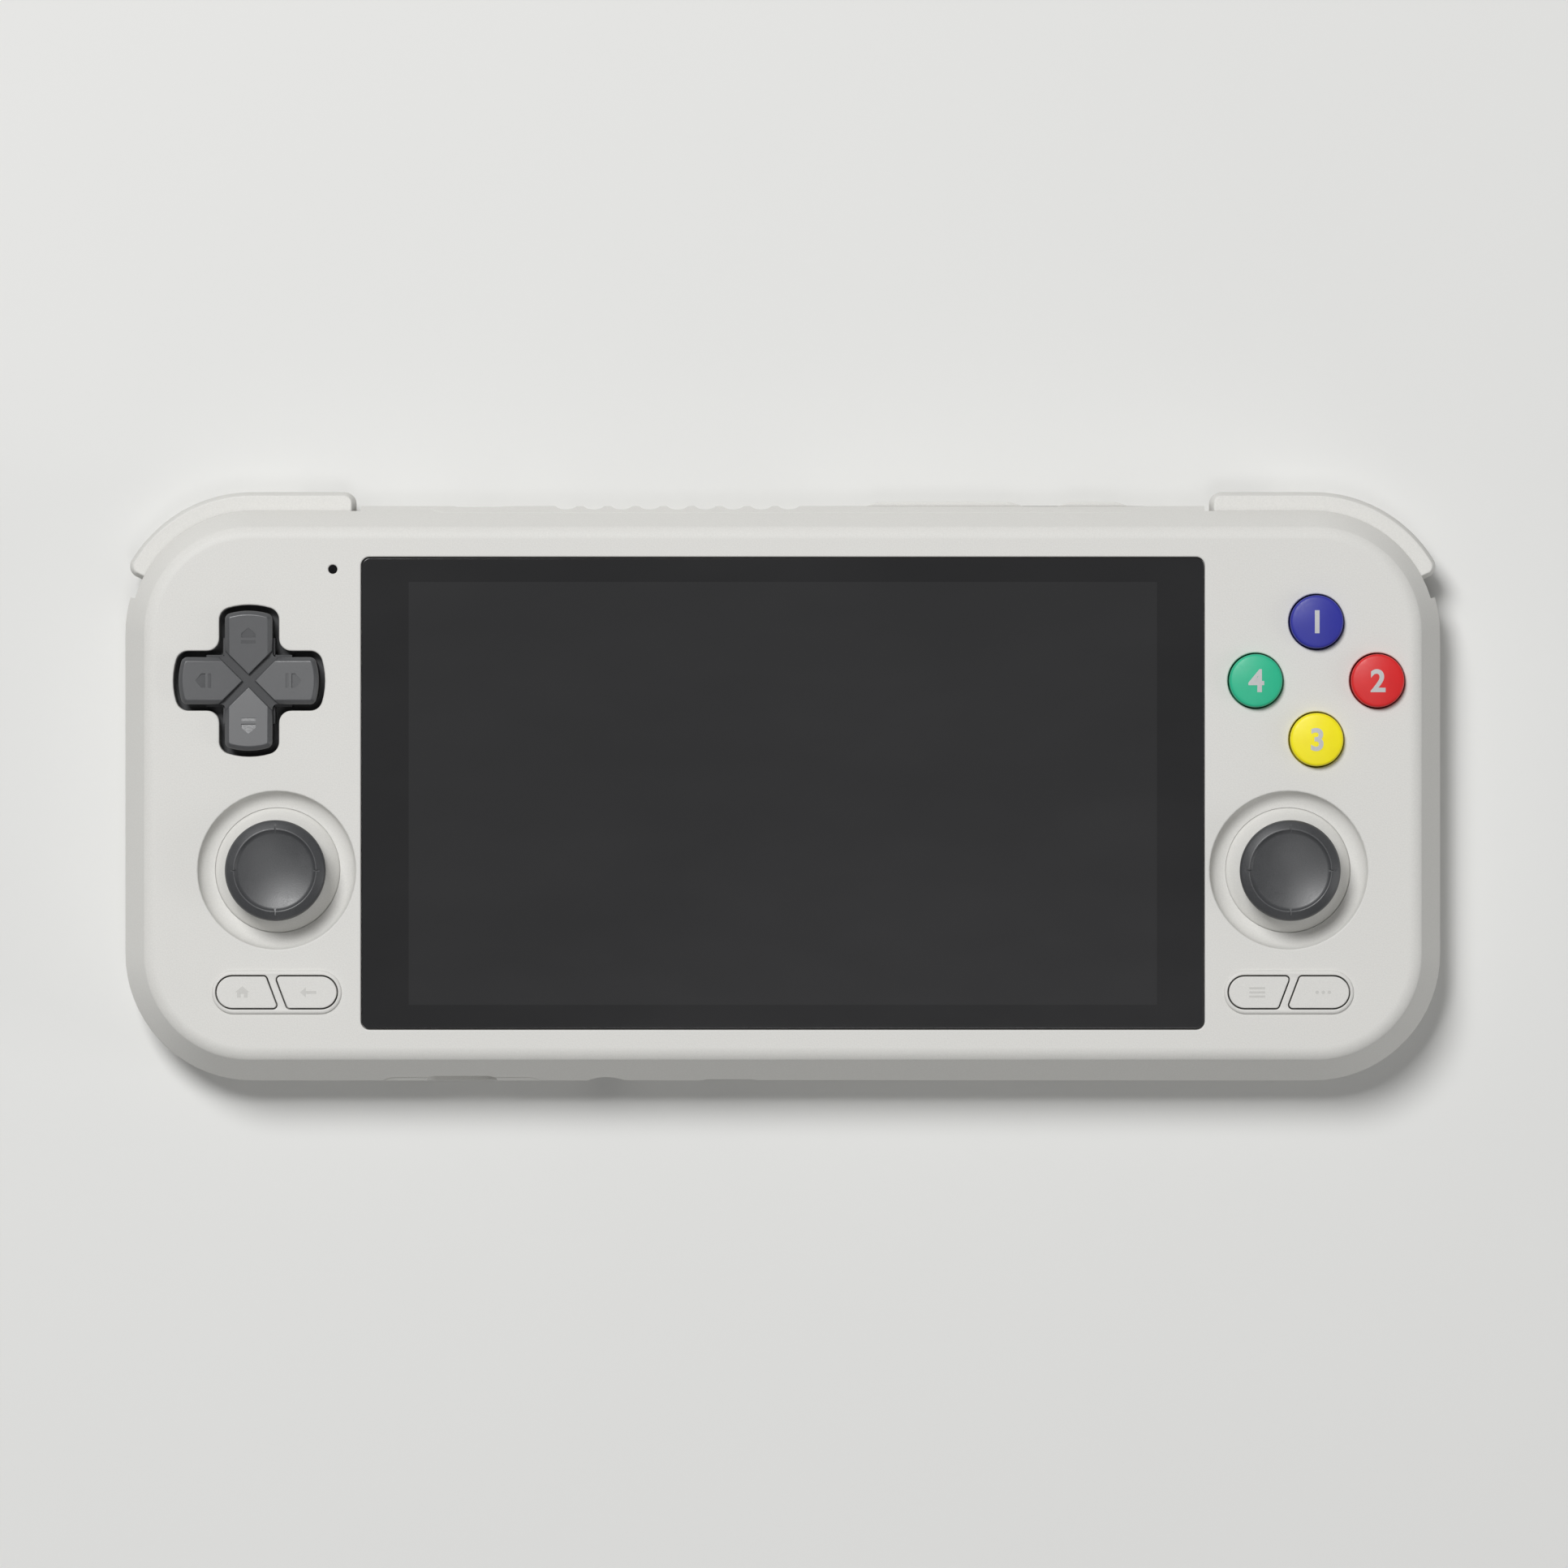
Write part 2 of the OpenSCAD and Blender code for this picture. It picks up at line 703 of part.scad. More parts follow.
// Walls, ceiling and pin boss of a shoulder slot
module slot_walls(z0, z1) {
  at_corner() plate(z0, z1) difference() {
    slot_plan(slot_r - slot_wall, slot_a + 6, slot_run + slot_wall);
    slot_plan(slot_r, slot_a, slot_run);
  }
}

module slot_ceiling() {
  at_corner() {
    plate(lip_z, lip_z + ceiling_t) slot_plan(slot_r - slot_wall, slot_a, slot_run + slot_wall);
    translate(pin_c) rod(eye_r, lip_z, pin_z1 + 0.6);
  }
}

// Outline of the top strip in X and Z
module strip_plan(grow = 0) {
  half = strip_w / 2 + grow;
  end = half - strip_slant;
  polygon([[-end, strip_z1 + grow], [end, strip_z1 + grow], [half, part_z], [half, strip_z0 - grow],
    [-half, strip_z0 - grow], [-half, part_z]]);
}

// Outline of the card cover in X and Z
module card_plan(grow = 0) {
  w = card_w + 2 * grow;
  half = card_h / 2 + grow;
  translate([card_at, card_z0 + card_h / 2]) {
    round_rect(w, 2 * half, card_top_r + grow);
    translate([0, -half / 2]) round_rect(w, half, card_foot_r + grow);
  }
}

// Room for the sockets in the bottom edge
module bottom_sockets() {
  y1 = -body_h / 2 + wall + 2;
  along_y(-body_h / 2 - over, y1) translate([usb_at, usb_z]) stadium(usb_w + 4 * seam, usb_h + 4 * seam);
  along_y(-body_h / 2 - over, -socket_y) translate([jack_at, jack_z]) circle(recess_r);
  along_y(-socket_y - seam, y1) translate([jack_at, jack_z]) square(jack_body + [2, 2] * seam, center = true);
  along_y(-body_h / 2 - over, -body_h / 2 + card_room) card_plan(key_gap);
  along_y(-body_h / 2 - over, -body_h / 2 + card_back + over)
    translate([card_at, card_slot_z]) square(card_mouth, center = true);
  nail_cut();
}

// Scoop for a nail above the card cover
module nail_cut() {
  z1 = card_z0 + card_h + 0.65;
  along_y(-body_h / 2 - over, -body_h / 2 + nail_d)
    translate([card_at, z1 - nail_h / 2]) stadium(nail_w, nail_h);
}

// Block behind the card cover, which carries its hinge
module card_block(z0, z1) {
  translate([card_at - card_w / 2 - wall, -body_h / 2 + wall - 0.3, z0])
    cube([card_w + 2 * wall, card_back - wall, z1 - z0]);
}

// Hinge lugs for the card cover
module card_lugs() {
  z0 = card_z0 - card_lug_drop;
  for (x = [-1, 1])
    translate([card_at + x * (card_lug_x + card_lug_w / 2) - card_lug_w / 2, card_axis[0] - card_lug_y, z0])
      cube([card_lug_w, card_room - card_lug_y / 2, card_axis[1] + card_pin_r + run_gap + 0.3 - z0]);
}

module card_pin_holes() {
  length = 2 * (card_lug_x + card_lug_w) + 1;
  translate([card_at - length / 2, card_axis[0], card_axis[1]])
    rotate([0, 90, 0]) cylinder(r = card_pin_r + run_gap, h = length);
}

// Upright things at each place of a list, on both sides
module at_each(places) {
  both_sides() for (p = places) translate(p) children();
}

module front_shell() {
  color(shell_colour) difference() {
    union() {
      difference() {
        slab(front_outer);
        slab(front_inner);
      }
      intersection() {
        slab(front_outer);
        union() {
          both_sides() slot_walls(part_z, cav_z + over);
          both_sides() slot_ceiling();
          card_block(part_z, part_z + 2.6);
          at_each(screws) rod(boss_r, part_z, cav_z + over);
        }
      }
      at_each([stick_c]) rod(well_r + well_floor, well_z - well_floor, cav_z + over);
      at_each(board_posts) rod(post_boss_r, board_z, cav_z + over);
      for (x = [-1, 1], y = [-1, 1])
        translate([x * (display_w / 2 + plate_rim), y * (display_h / 2 + plate_rim), 0])
          rod(post_boss_r - 0.2, display_z0, cav_z + over);
      at_each([menu_c]) pod();
    }
    plate(ledge_z, face_z + over) round_rect(glass_w + 2 * seam, glass_h + 2 * seam, glass_r + seam);
    plate(cav_z - over, face_z) square([display_w, display_h] + [2, 2] * display_gap, center = true);
    plate(plate_z0, display_z0) square([display_w, display_h] + [2, 2] * (plate_rim + seam), center = true);
    translate(pads_c) plate(cav_z - over, face_z + over) cross_plan(pad_r, pad_arm, pad_corner);
    for (turn = [0 : 90 : 270])
      translate([-pads_c[0], pads_c[1]] + face_place(turn))
        rod(face_r + key_gap, cav_z - over, face_z + over);
    both_sides() for (end = [left, right])
      translate(menu_c) plate(cav_z - over, face_z + pod_rise + over) menu_plan(end, key_gap);
    at_each([stick_c]) well_cut();
    both_sides() at_corner() {
      plate(part_z - over, lip_z) slot_plan(slot_r, slot_a, slot_run);
      translate(pin_c) rod(pin_r + seat_gap, lip_z - over, pin_z1);
    }
    at_each(screws) rod(screw_r + seat_gap, part_z - over, screw_z0 + head_h + screw_len + 0.5);
    translate(light_c) rod(light_r + seam, cav_z - over, face_z + over);
    along_y(body_h / 2 - 2 * strip_t, body_h / 2 + over) strip_plan(seam);
    bottom_sockets();
  }
}

// Raised pod round a pair of menu keys, with a soft edge
module pod() {
  top = face_z + pod_rise;
  foot = face_z - over;
  edge = [for (i = [0 : arc_steps]) let (a = 90 * i / arc_steps)
    [pod_h / 2 - pod_soft * (1 - cos(a)), face_z + pod_rise * sin(a)]];
  back = [for (i = [arc_steps : -1 : 0]) [-edge[i][0], edge[i][1]]];
  for (x = [-1, 1])
    translate([x * (pod_w - pod_h) / 2, 0, 0])
      rotate_extrude() polygon(concat([[0, foot], [pod_h / 2, foot]], edge, [[0, top]]));
  rotate([90, 0, 90]) linear_extrude(pod_w - pod_h, center = true)
    polygon(concat([[-pod_h / 2, foot], [pod_h / 2, foot]], edge, back));
}

// Cove of a stick well and the round opening for the skirt
module well_cut() {
  cove = [for (i = [0 : arc_steps + 2]) let (a = 90 * i / (arc_steps + 2))
    [ring_r + (well_r - ring_r) * cos(a), face_z - well_depth * sin(a)]];
  rotate_extrude() polygon(concat([[0, face_z + over], [well_r, face_z + over]], cove, [[0, well_z]]));
  translate([0, 0, pivot_z]) sphere(dome_r + dome_gap);
}

module rear_shell() {
  color(shell_colour) difference() {
    union() {
      difference() {
        slab(rear_outer);
        slab(rear_inner);
      }
      intersection() {
        slab(rear_outer);
        union() {
          both_sides() slot_walls(0, part_z);
          both_sides() at_corner() translate([lug_x, slot_r - slot_wall, 0])
            cube([slot_run - lug_x + slot_wall, slot_reach, lug_z]);
          difference() {
            card_block(floor_z, part_z);
            along_y(-body_h / 2 - over, -body_h / 2 + card_room) card_plan(key_gap);
          }
          card_lugs();
          at_each(screws) rod(boss_r, 0, part_z);
        }
      }
      for (x = board_feet_x, y = board_feet_y)
        translate([x, y, 0]) rod(post_boss_r, floor_z - 0.5, main_z0);
      for (x = [volume_at - side_switch_at, volume_at + side_switch_at, power_at])
        translate([x - board_foot[0] / 2, key_board_y - board_foot[1], floor_z - 0.5])
          cube([board_foot[0], board_foot[1], part_z - floor_z]);
    }
    both_sides() at_corner() {
      difference() {
        plate(-over, part_z + over) slot_plan(slot_r, slot_a, slot_run);
        translate([lug_x, 0, -2 * over]) cube([slot_reach, slot_reach, lug_z + 2 * over]);
      }
      translate(pin_c) rod(pin_r + seat_gap, pin_z0, lug_z + over);
    }
    at_each(screws) {
      rod(head_r + 4 * seam, -over, screw_z0 + head_h);
      rod(screw_r + 2 * seam, 0, part_z + over);
    }
    along_y(body_h / 2 - 2 * strip_t, body_h / 2 + over) strip_plan(seam);
    difference() {
      bottom_sockets();
      card_lugs();
    }
    card_pin_holes();
    rear_grilles();
  }
}

// Air slots under the fan and sound slots under the speakers
module rear_grilles() {
  for (row = [-3 : 3]) let (y = row * grille_pitch)
    translate([fan_c[0], fan_c[1] + y, 0])
      plate(-over, floor_z + over) stadium(2 * sqrt(grille_r * grille_r - y * y), grille_slot);
  both_sides() for (row = [-1 : 1])
    translate([menu_c[0], menu_c[1] + row * grille_pitch * 0.8, 0])
      plate(-over, floor_z + over) stadium(speaker_w * 0.7, grille_slot);
}

module top_strip() {
  color(shell_colour) difference() {
    intersection() {
      slab(whole_outer);
      along_y(strip_y, body_h / 2 + over) strip_plan();
    }
    along_y(strip_y - over, body_h / 2 + over) {
      for (i = [0 : vent_count - 1])
        translate([vent_at + (i - (vent_count - 1) / 2) * vent_pitch, part_z - vent_drop])
          rotate(90) stadium(vent_h, vent_w);
      translate([video_at, video_z]) round_rect(video_w + 4 * seam, video_h + 4 * seam, 0.6);
      translate([volume_at, side_key_z]) round_rect(volume_w + 2 * key_gap, side_key_h + 2 * key_gap, 0.5);
      translate([power_at, side_key_z]) round_rect(power_w + 2 * key_gap, side_key_h + 2 * key_gap, 0.5);
    }
  }
}

module screen_glass() {
  color(dark_colour) plate(glass_z0, glass_z1) round_rect(glass_w, glass_h, glass_r);
}

module screen_gasket() {
  color(dark_colour) plate(ledge_z, glass_z0) difference() {
    round_rect(glass_w, glass_h, glass_r);
    square([display_w, display_h] + [2, 2] * display_gap, center = true);
  }
}

module display_panel() {
  color(dark_colour) plate(display_z0, glass_z0) square([display_w, display_h], center = true);
}

module mid_plate() {
  color(metal_colour) plate(plate_z0, display_z0)
    square([display_w, display_h] + [2, 2] * plate_rim, center = true);
}

module main_board() {
  x0 = -column_x + 0.6;
  y0 = -body_h / 2 + board_up;
  fan_x0 = fan_c[0] - fan_w / 2 - fan_room;
  fan_y0 = fan_c[1] - fan_h / 2 - fan_room;
  color(board_colour) plate(main_z0, main_z1) difference() {
    union() {
      translate([x0, y0]) square([board_end - x0, fan_y0 - y0]);
      translate([x0, y0]) square([fan_x0 - x0, body_h / 2 - board_down - y0]);
      translate([video_at - 5, 0]) square([10, socket_y - 2.2]);
    }
    translate([jack_at - jack_body[0] / 2 - 0.4, y0 - over]) square([jack_body[0] + 0.8, jack_depth + 1.2]);
  }
}

// Control board of the left column; the right one is its mirror image
module control_board() {
  x0 = -body_w / 2 + column_board[0];
  y0 = -body_h / 2 + column_board[1];
  color(board_colour) plate(board_z - board_t, board_z) difference() {
    translate([x0, y0]) square([-column_x - x0, pads_c[1] + column_board[2] - y0]);
    translate(stick_c) circle(dome_r + 1);
    translate(corner_c) slot_plan(slot_r - slot_wall - 0.4, slot_a + 12, slot_run + slot_wall + 0.4);
    for (p = screws)
      translate(p) circle(boss_r + 0.4);
  }
}

module side_key_board() {
  x0 = volume_at - volume_w / 2 - 1;
  x1 = power_at + power_w / 2 + 1;
  tip = key_flange_y0 - switch_gap - key_board_y - key_board_t;
  color(board_colour) translate([x0, key_board_y, key_board_z0])
    cube([x1 - x0, key_board_t, key_board_z1 - key_board_z0]);
  color(dark_colour) for (x = [volume_at - side_switch_at, volume_at + side_switch_at, power_at])
    translate([x, key_board_y + key_board_t, side_key_z]) {
      translate([-side_switch[0] / 2, 0, -side_switch[1] / 2])
        cube([side_switch[0], tip - knob, side_switch[1]]);
      rotate([-90, 0, 0]) cylinder(r = knob_r, h = tip);
    }
}

module battery() {
  color(dark_colour) translate(battery_c)
    plate(floor_z, floor_z + battery_t) round_rect(battery_w, battery_h, 2);
}

module fan_housing() {
  z1 = floor_z + fan_t;
  hole_ring = 4.6;
  color(dark_colour) translate(fan_c) {
    difference() {
      plate(floor_z, z1) square([fan_w, fan_h], center = true);
      rod(rotor_r + fan_room, floor_z + fan_wall, z1 - fan_wall);
      plate(floor_z + fan_wall, z1 - fan_wall)
        translate([-fan_w / 2 + fan_wall, 0]) square([fan_w - 2 * fan_wall, fan_h]);
      rod(rotor_r * 0.7, z1 - 2 * fan_wall, z1 + over);
      for (turn = [0 : 60 : 300])
        rotate(turn) translate([hole_ring, 0]) rod(hole_ring * 0.4, floor_z - over, floor_z + 2 * fan_wall);
    }
    rod(shaft_r, floor_z + fan_wall / 2, z1 - 2 * fan_wall);
  }
}

module fan_rotor() {
  z0 = floor_z + fan_wall + 0.3;
  z1 = floor_z + fan_t - fan_wall - 0.4;
  hub_r = rotor_r * 0.45;
  blade_t = 0.7;
  color(dark_colour) translate(fan_c) difference() {
    union() {
      rod(hub_r, z0, z1);
      for (i = [0 : blade_count - 1])
        rotate(i * 360 / blade_count) translate([hub_r - 0.6, -blade_t / 2, z0])
          cube([rotor_r - hub_r + 0.5, blade_t, z1 - z0 - 0.3]);
    }
    rod(shaft_r + run_gap, z0 - over, z1 + over);
  }
}

module heat_sink() {
  y0 = fan_c[1] + fan_h / 2;
  y1 = strip_y - 0.9;
  z0 = part_z - fin_depth;
  z1 = floor_z + fan_t;
  fins = floor((fan_w - fin_t) / fin_pitch);
  color([0.72, 0.45, 0.3]) translate([fan_c[0], y0, 0]) {
    plate(z1 - 0.6, z1) translate([-fan_w / 2, 0]) square([fan_w, y1 - y0]);
    for (i = [0 : fins])
      translate([(i - fins / 2) * fin_pitch - fin_t / 2, 0, z0]) cube([fin_t, y1 - y0, z1 - z0]);
  }
}

module speakers() {
  color(dark_colour) at_each([menu_c])
    plate(floor_z, floor_z + speaker_t) round_rect(speaker_w, speaker_h, 1.5);
}

// A socket's metal shell with its tongue, mouth at y1
module socket(w, h, y0, y1) {
  along_y(y0, y1) difference() {
    round_rect(w, h, h * 0.4);
    round_rect(w - 2 * socket_t, h - 2 * socket_t, h * 0.4 - socket_t);
  }
  along_y(y0, y0 + 0.6) round_rect(w, h, h * 0.4);
  along_y(y0, y1 - 0.8) square([w * 0.72, 0.7], center = true);
}

module usb_socket() {
  color(metal_colour) translate([usb_at, 0, usb_z])
    mirror([0, 1, 0]) socket(usb_w, usb_h, socket_y - socket_len, socket_y);
}

module video_socket() {
  color(metal_colour) translate([video_at, 0, video_z])
    socket(video_w, video_h, socket_y - socket_len, socket_y - 0.2);
}

module headphone_socket() {
  length = jack_depth + 0.8;
  color(dark_colour) translate([jack_at, 0, jack_z]) difference() {
    along_y(-socket_y, -socket_y + length) square(jack_body, center = true);
    along_y(-socket_y - over, -socket_y + jack_depth) circle(jack_r);
  }
}

module card_reader() {
  y0 = -body_h / 2 + card_back;
  color(metal_colour) difference() {
    translate([card_at - reader[0] / 2, y0, main_z1]) cube(reader);
    translate([card_at - card_slot[0] / 2, y0 - over, card_slot_z - card_slot[2] / 2])
      cube([card_slot[0], card_slot[1] + over, card_slot[2]]);
  }
}

module card_cover() {
  color(shell_colour) difference() {
    union() {
      intersection() {
        slab(whole_outer);
        along_y(-body_h / 2 - over, card_y) card_plan();
      }
      translate([card_at, card_axis[0], card_axis[1]]) rotate([0, 90, 0])
        cylinder(r = card_knuckle_r, h = 2 * card_lug_x - 2 * key_gap, center = true);
      translate([card_at, card_axis[0], card_axis[1]]) rotate([0, 90, 0])
        cylinder(r = card_pin_r, h = 2 * card_lug_x + 2 * card_lug_w - 0.4, center = true);
    }
    nail_cut();
    for (x = [-1, 1])
      translate([card_at + x * (card_lug_x + card_lug_w / 2), card_axis[0], card_axis[1]])
        rotate([0, 90, 0]) difference() {
          cylinder(r = card_relief_r, h = card_lug_w + 2 * key_gap, center = true);
          cylinder(r = card_pin_r, h = card_lug_w + 2 * over, center = true);
        }
  }
}

module light_pipe() {
  color(dark_colour) translate(light_c) {
    rod(light_r, cav_z - 0.6, face_z - glass_sink);
    rod(light_flange_r, cav_z - light_flange_t, cav_z);
  }
}

module direction_pad() {
  corner = pad_corner - 0.3;
  tip = pad_r - pad_gap;
  arm = pad_arm - 2 * pad_gap;
  color(key_colour) translate(pads_c) {
    difference() {
      union() {
        plate(pad_flange_z0, pad_top - pad_step) cross_plan(tip, arm, corner);
        plate(pad_top - pad_step - 0.1, pad_top)
          cross_plan(tip - pad_step, arm - 2 * pad_step, corner - pad_step);
        plate(pad_flange_z0, pad_flange_z1) cross_plan(pad_flange_r, pad_flange_arm, corner);
        plate(pad_flange_z0, face_z - collar_drop) for (turn = [0, 90])
          rotate(turn) square([collar_l, pad_arm - 2 * collar_gap], center = true);
      }
      for (turn = [45, 135])
        rotate(turn) translate([-pad_r, -groove_w / 2, pad_top - groove_d])
          cube([2 * pad_r, groove_w, groove_d + over]);
      for (turn = [0 : 90 : 270])
        rotate(turn) plate(pad_top - mark_d, pad_top + over) {
          polygon(pad_arrow);
          polygon(pad_bar);
        }
    }
    translate([0, 0, pad_pivot[2]]) sphere(nub_r);
    rod(nub_r * 0.8, pad_pivot[2], pad_flange_z0 + 0.2);
  }
}

module pad_pivot_bead() {
  color(metal_colour) translate(pad_pivot) difference() {
    sphere(bead_r);
    sphere(nub_r + run_gap);
    translate([-bead_r - over, -bead_r - over, -bead_cut]) cube(2 * bead_r + 2 * over);
  }
}

module pad_pivot_seat() {
  color(dark_colour) difference() {
    translate(pads_c) rod(seat_r, board_z, board_z + seat_h);
    translate(pad_pivot) sphere(bead_r + run_gap);
  }
}

// A rubber dome under a key, from its sheet up to the key
module dome(r, z1) {
  translate([0, 0, sheet_z - 0.1]) cylinder(r1 = r, r2 = r * 0.65, h = z1 - sheet_z + 0.1);
}

module pad_membrane() {
  dome_at = pad_r * 0.68;
  color(rubber_colour) translate(pads_c) difference() {
    union() {
      plate(board_z, sheet_z) circle(pad_r + 0.4);
      for (turn = [0 : 90 : 270])
        rotate(turn) translate([dome_at, 0]) dome(2.4, pad_flange_z0 - dome_room);
    }
    rod(seat_r + 0.3, board_z - over, sheet_z + over);
  }
}

module face_membrane() {
  color(rubber_colour) translate([-pads_c[0], pads_c[1]]) {
    plate(board_z, sheet_z) {
      square([2 * face_dx, face_r], center = true);
      square([face_r, 2 * face_dy], center = true);
      for (turn = [0 : 90 : 270])
        translate(face_place(turn)) circle(face_r + 0.8);
    }
    for (turn = [0 : 90 : 270])
      translate(face_place(turn)) dome(face_r * 0.8, flange_z0 - dome_room);
  }
}

module menu_membranes() {
  color(rubber_colour) at_each([menu_c]) {
    plate(board_z, sheet_z) stadium(keys_w, keys_h);
    for (x = [-1, 1])
      translate([x * keys_w * 0.27, 0]) dome(keys_h * 0.36, flange_z0 - dome_room);
  }
}

// A round key with a soft edge and a low dome, and its flange
module face_key(turn, tint) {
  top = face_z + face_rise;
  edge = arc([face_r - face_edge, top - face_dome - face_edge], face_edge, 0, 80);
  color(tint) translate([-pads_c[0], pads_c[1]] + face_place(turn)) rotate_extrude()
    polygon(concat([[0, flange_z0], [face_r + flange_w, flange_z0], [face_r + flange_w, flange_z1],
      [face_r, flange_z1]], edge, [[face_r * 0.45, top - face_dome * 0.2], [0, top]]));
}

module face_key_top() {
  face_key(90, [0.22, 0.25, 0.62]);
}

module face_key_left() {
  face_key(180, [0.37, 0.77, 0.63]);
}

module face_key_right() {
  face_key(0, [0.87, 0.24, 0.24]);
}

module face_key_bottom() {
  face_key(270, [0.99, 0.88, 0.2]);
}

// A menu key with its flange; side and end pick its place
module menu_key(side, end) {
  color(shell_colour) on_side(side) translate(menu_c) {
    plate(flange_z0, face_z + pod_rise + menu_rise) menu_plan(end);
    plate(flange_z0, flange_z1) menu_plan(end, rib_w / 2 - key_gap);
  }
}

module home_key() {
  menu_key(left, left);
}

module back_key() {
  menu_key(left, right);
}

module select_key() {
  menu_key(right, right);
}

module start_key() {
  menu_key(right, left);
}

// Moves left-hand children to a stick's place on the given side
module at_stick(side) {
  on_side(side) translate(stick_c) children();
}

module stick_housing(side) {
  color(metal_colour) at_stick(side) difference() {
    union() {
      plate(floor_z, floor_z + housing_base) square(base_w, center = true);
      rod(housing_r, floor_z, pivot_z + housing_rise);
    }
    rod(housing_in, click_z, pivot_z + housing_rise + over);
    difference() {
      rod(housing_in, floor_z + housing_base, pivot_z);
      rod(post_r + 0.4, floor_z, pivot_z);
    }
    translate([0, 0, pivot_z]) rotate([0, 90, 0])
      cylinder(r = trunnion_r + run_gap, h = 2 * housing_r + over, center = true);
  }
}

module stick_yoke(side) {
  color(dark_colour) at_stick(side) translate([0, 0, pivot_z]) {
    difference() {
      rod(yoke_out, -yoke_h, yoke_h);
      rod(yoke_in, -yoke_h - over, yoke_h + over);
      rotate([90, 0, 0]) cylinder(r = trunnion_r + run_gap, h = 3 * yoke_out, center = true);
    }
    for (turn = [0, 180])
      rotate(turn) translate([yoke_out - 0.5, 0, 0]) rotate([0, 90, 0])
        cylinder(r = trunnion_r, h = (housing_in + housing_r) / 2 - yoke_out + 0.5);
  }
}

module stick_rocker(side) {
  color(dark_colour) at_stick(side) translate([0, 0, pivot_z]) difference() {
    union() {
      rod(rocker_r, -rocker_h, rocker_h);
      rotate([90, 0, 0]) cylinder(r = trunnion_r, h = yoke_in + yoke_out, center = true);
    }
    rod(post_r + run_gap, -over - rocker_h, over + rocker_h);
  }
}

module stick_post(side) {
  color(metal_colour) at_stick(side) rod(post_r, pivot_z - post_low, post_z1);
}

module stick_skirt(side) {
  color(shell_colour) at_stick(side) translate([0, 0, pivot_z]) rotate_extrude() difference() {
    circle(dome_r);
    circle(dome_r - dome_t);
    translate([-2 * dome_r, -2 * dome_r]) square([2 * dome_r + post_r + seat_gap, 4 * dome_r]);
    translate([-2 * dome_r, -2 * dome_r]) square([4 * dome_r, 2 * dome_r + dome_r * cos(skirt_a)]);
  }
}

module stick_cap(side) {
  brim = 0.45;
  bowl = [for (i = [0 : arc_steps]) let (t = i / arc_steps)
    [(ridge_r - 0.5) * (1 - t), cap_z1 - dish * sin(90 * t)]];
  color(key_colour) at_stick(side) difference() {
    rotate_extrude() polygon(concat([[0, cap_z0], [cap_r - brim, cap_z0], [cap_r, cap_z0 + brim],
      [cap_r, cap_z1 - 1], [ridge_r + 0.4, cap_z1 - 0.1], [ridge_r, cap_z1]], bowl));
    rod(post_r + seat_gap, cap_z0 - over, post_z1);
    for (turn = [0 : 90 : 270])
      rotate(turn) translate([ridge_r - notch_l / 2, -notch_w / 2, cap_z1 - notch_d])
        cube([notch_l, notch_w, over]);
  }
}

module shoulder_pins() {
  color(metal_colour) both_sides() at_corner() translate(pin_c) rod(pin_r, pin_z0, pin_z1);
}

module bumper(side) {
  edge = arc([bumper_r - bumper_edge, bumper_z1 - bumper_edge], bumper_edge, 0, 90, 4);
  profile = concat([[bumper_in_r, bumper_z0], [bumper_r, bumper_z0]], edge, [[bumper_in_r, bumper_z1]]);
  color(shell_colour) on_side(side) at_corner() difference() {
    union() {
      shoulder_bar(profile, bumper_a, bumper_run);
      translate(pin_c) rod(eye_r, bumper_z0, bumper_z1);
    }
    shoulder_ends(bumper_r, bumper_a, bumper_run, bumper_z0 - over, bumper_z1 + over);
    translate(pin_c) rod(pin_r + run_gap, bumper_z0 - over, bumper_z1 + over);
  }
}

module trigger(side) {
  eye_z0 = lug_z + shoulder_gap;
  thick_run = lug_x - lug_gap;
  edge = arc([trigger_r - trigger_edge, trigger_back + trigger_edge], trigger_edge, 270, 360, 4);
  back = [[trigger_in_r, trigger_z1], [trigger_in_r, trigger_back]];
  profile = concat(back, edge, [[trigger_r, trigger_z1]]);
  color(shell_colour) on_side(side) at_corner() difference() {
    union() {
      shoulder_bar(profile, trigger_a, thick_run);
      translate([thick_run - 0.1, trigger_in_r, eye_z0])
        cube([trigger_run + 0.1 - thick_run, trigger_depth, trigger_z1 - eye_z0]);
      translate(pin_c) rod(eye_r, eye_z0, trigger_z1);
    }
    shoulder_ends(trigger_r, trigger_a, trigger_run, trigger_back - over, trigger_z1 + over);
    translate(pin_c) rod(pin_r + run_gap, eye_z0 - over, trigger_z1 + over);
    rotate(spring_a) translate([0, trigger_in_r + spring_seat, spring_z]) rotate([90, 0, 0])
      cylinder(r = coil_r + wire_r + 0.2, h = spring_seat + over);
  }
}

// A point on the wire of a trigger spring: ring i along the coil, corner k round the wire
function coil_vertex(i, k) = let (
    a = 360 * coil_turns * i / coil_rings,
    b = 360 * k / coil_sides,
    reach = coil_r + wire_r * cos(b),
    y = spring_y0 + (spring_y1 - spring_y0) * i / coil_rings
  ) [reach * cos(a), y + wire_r * sin(b), reach * sin(a)];

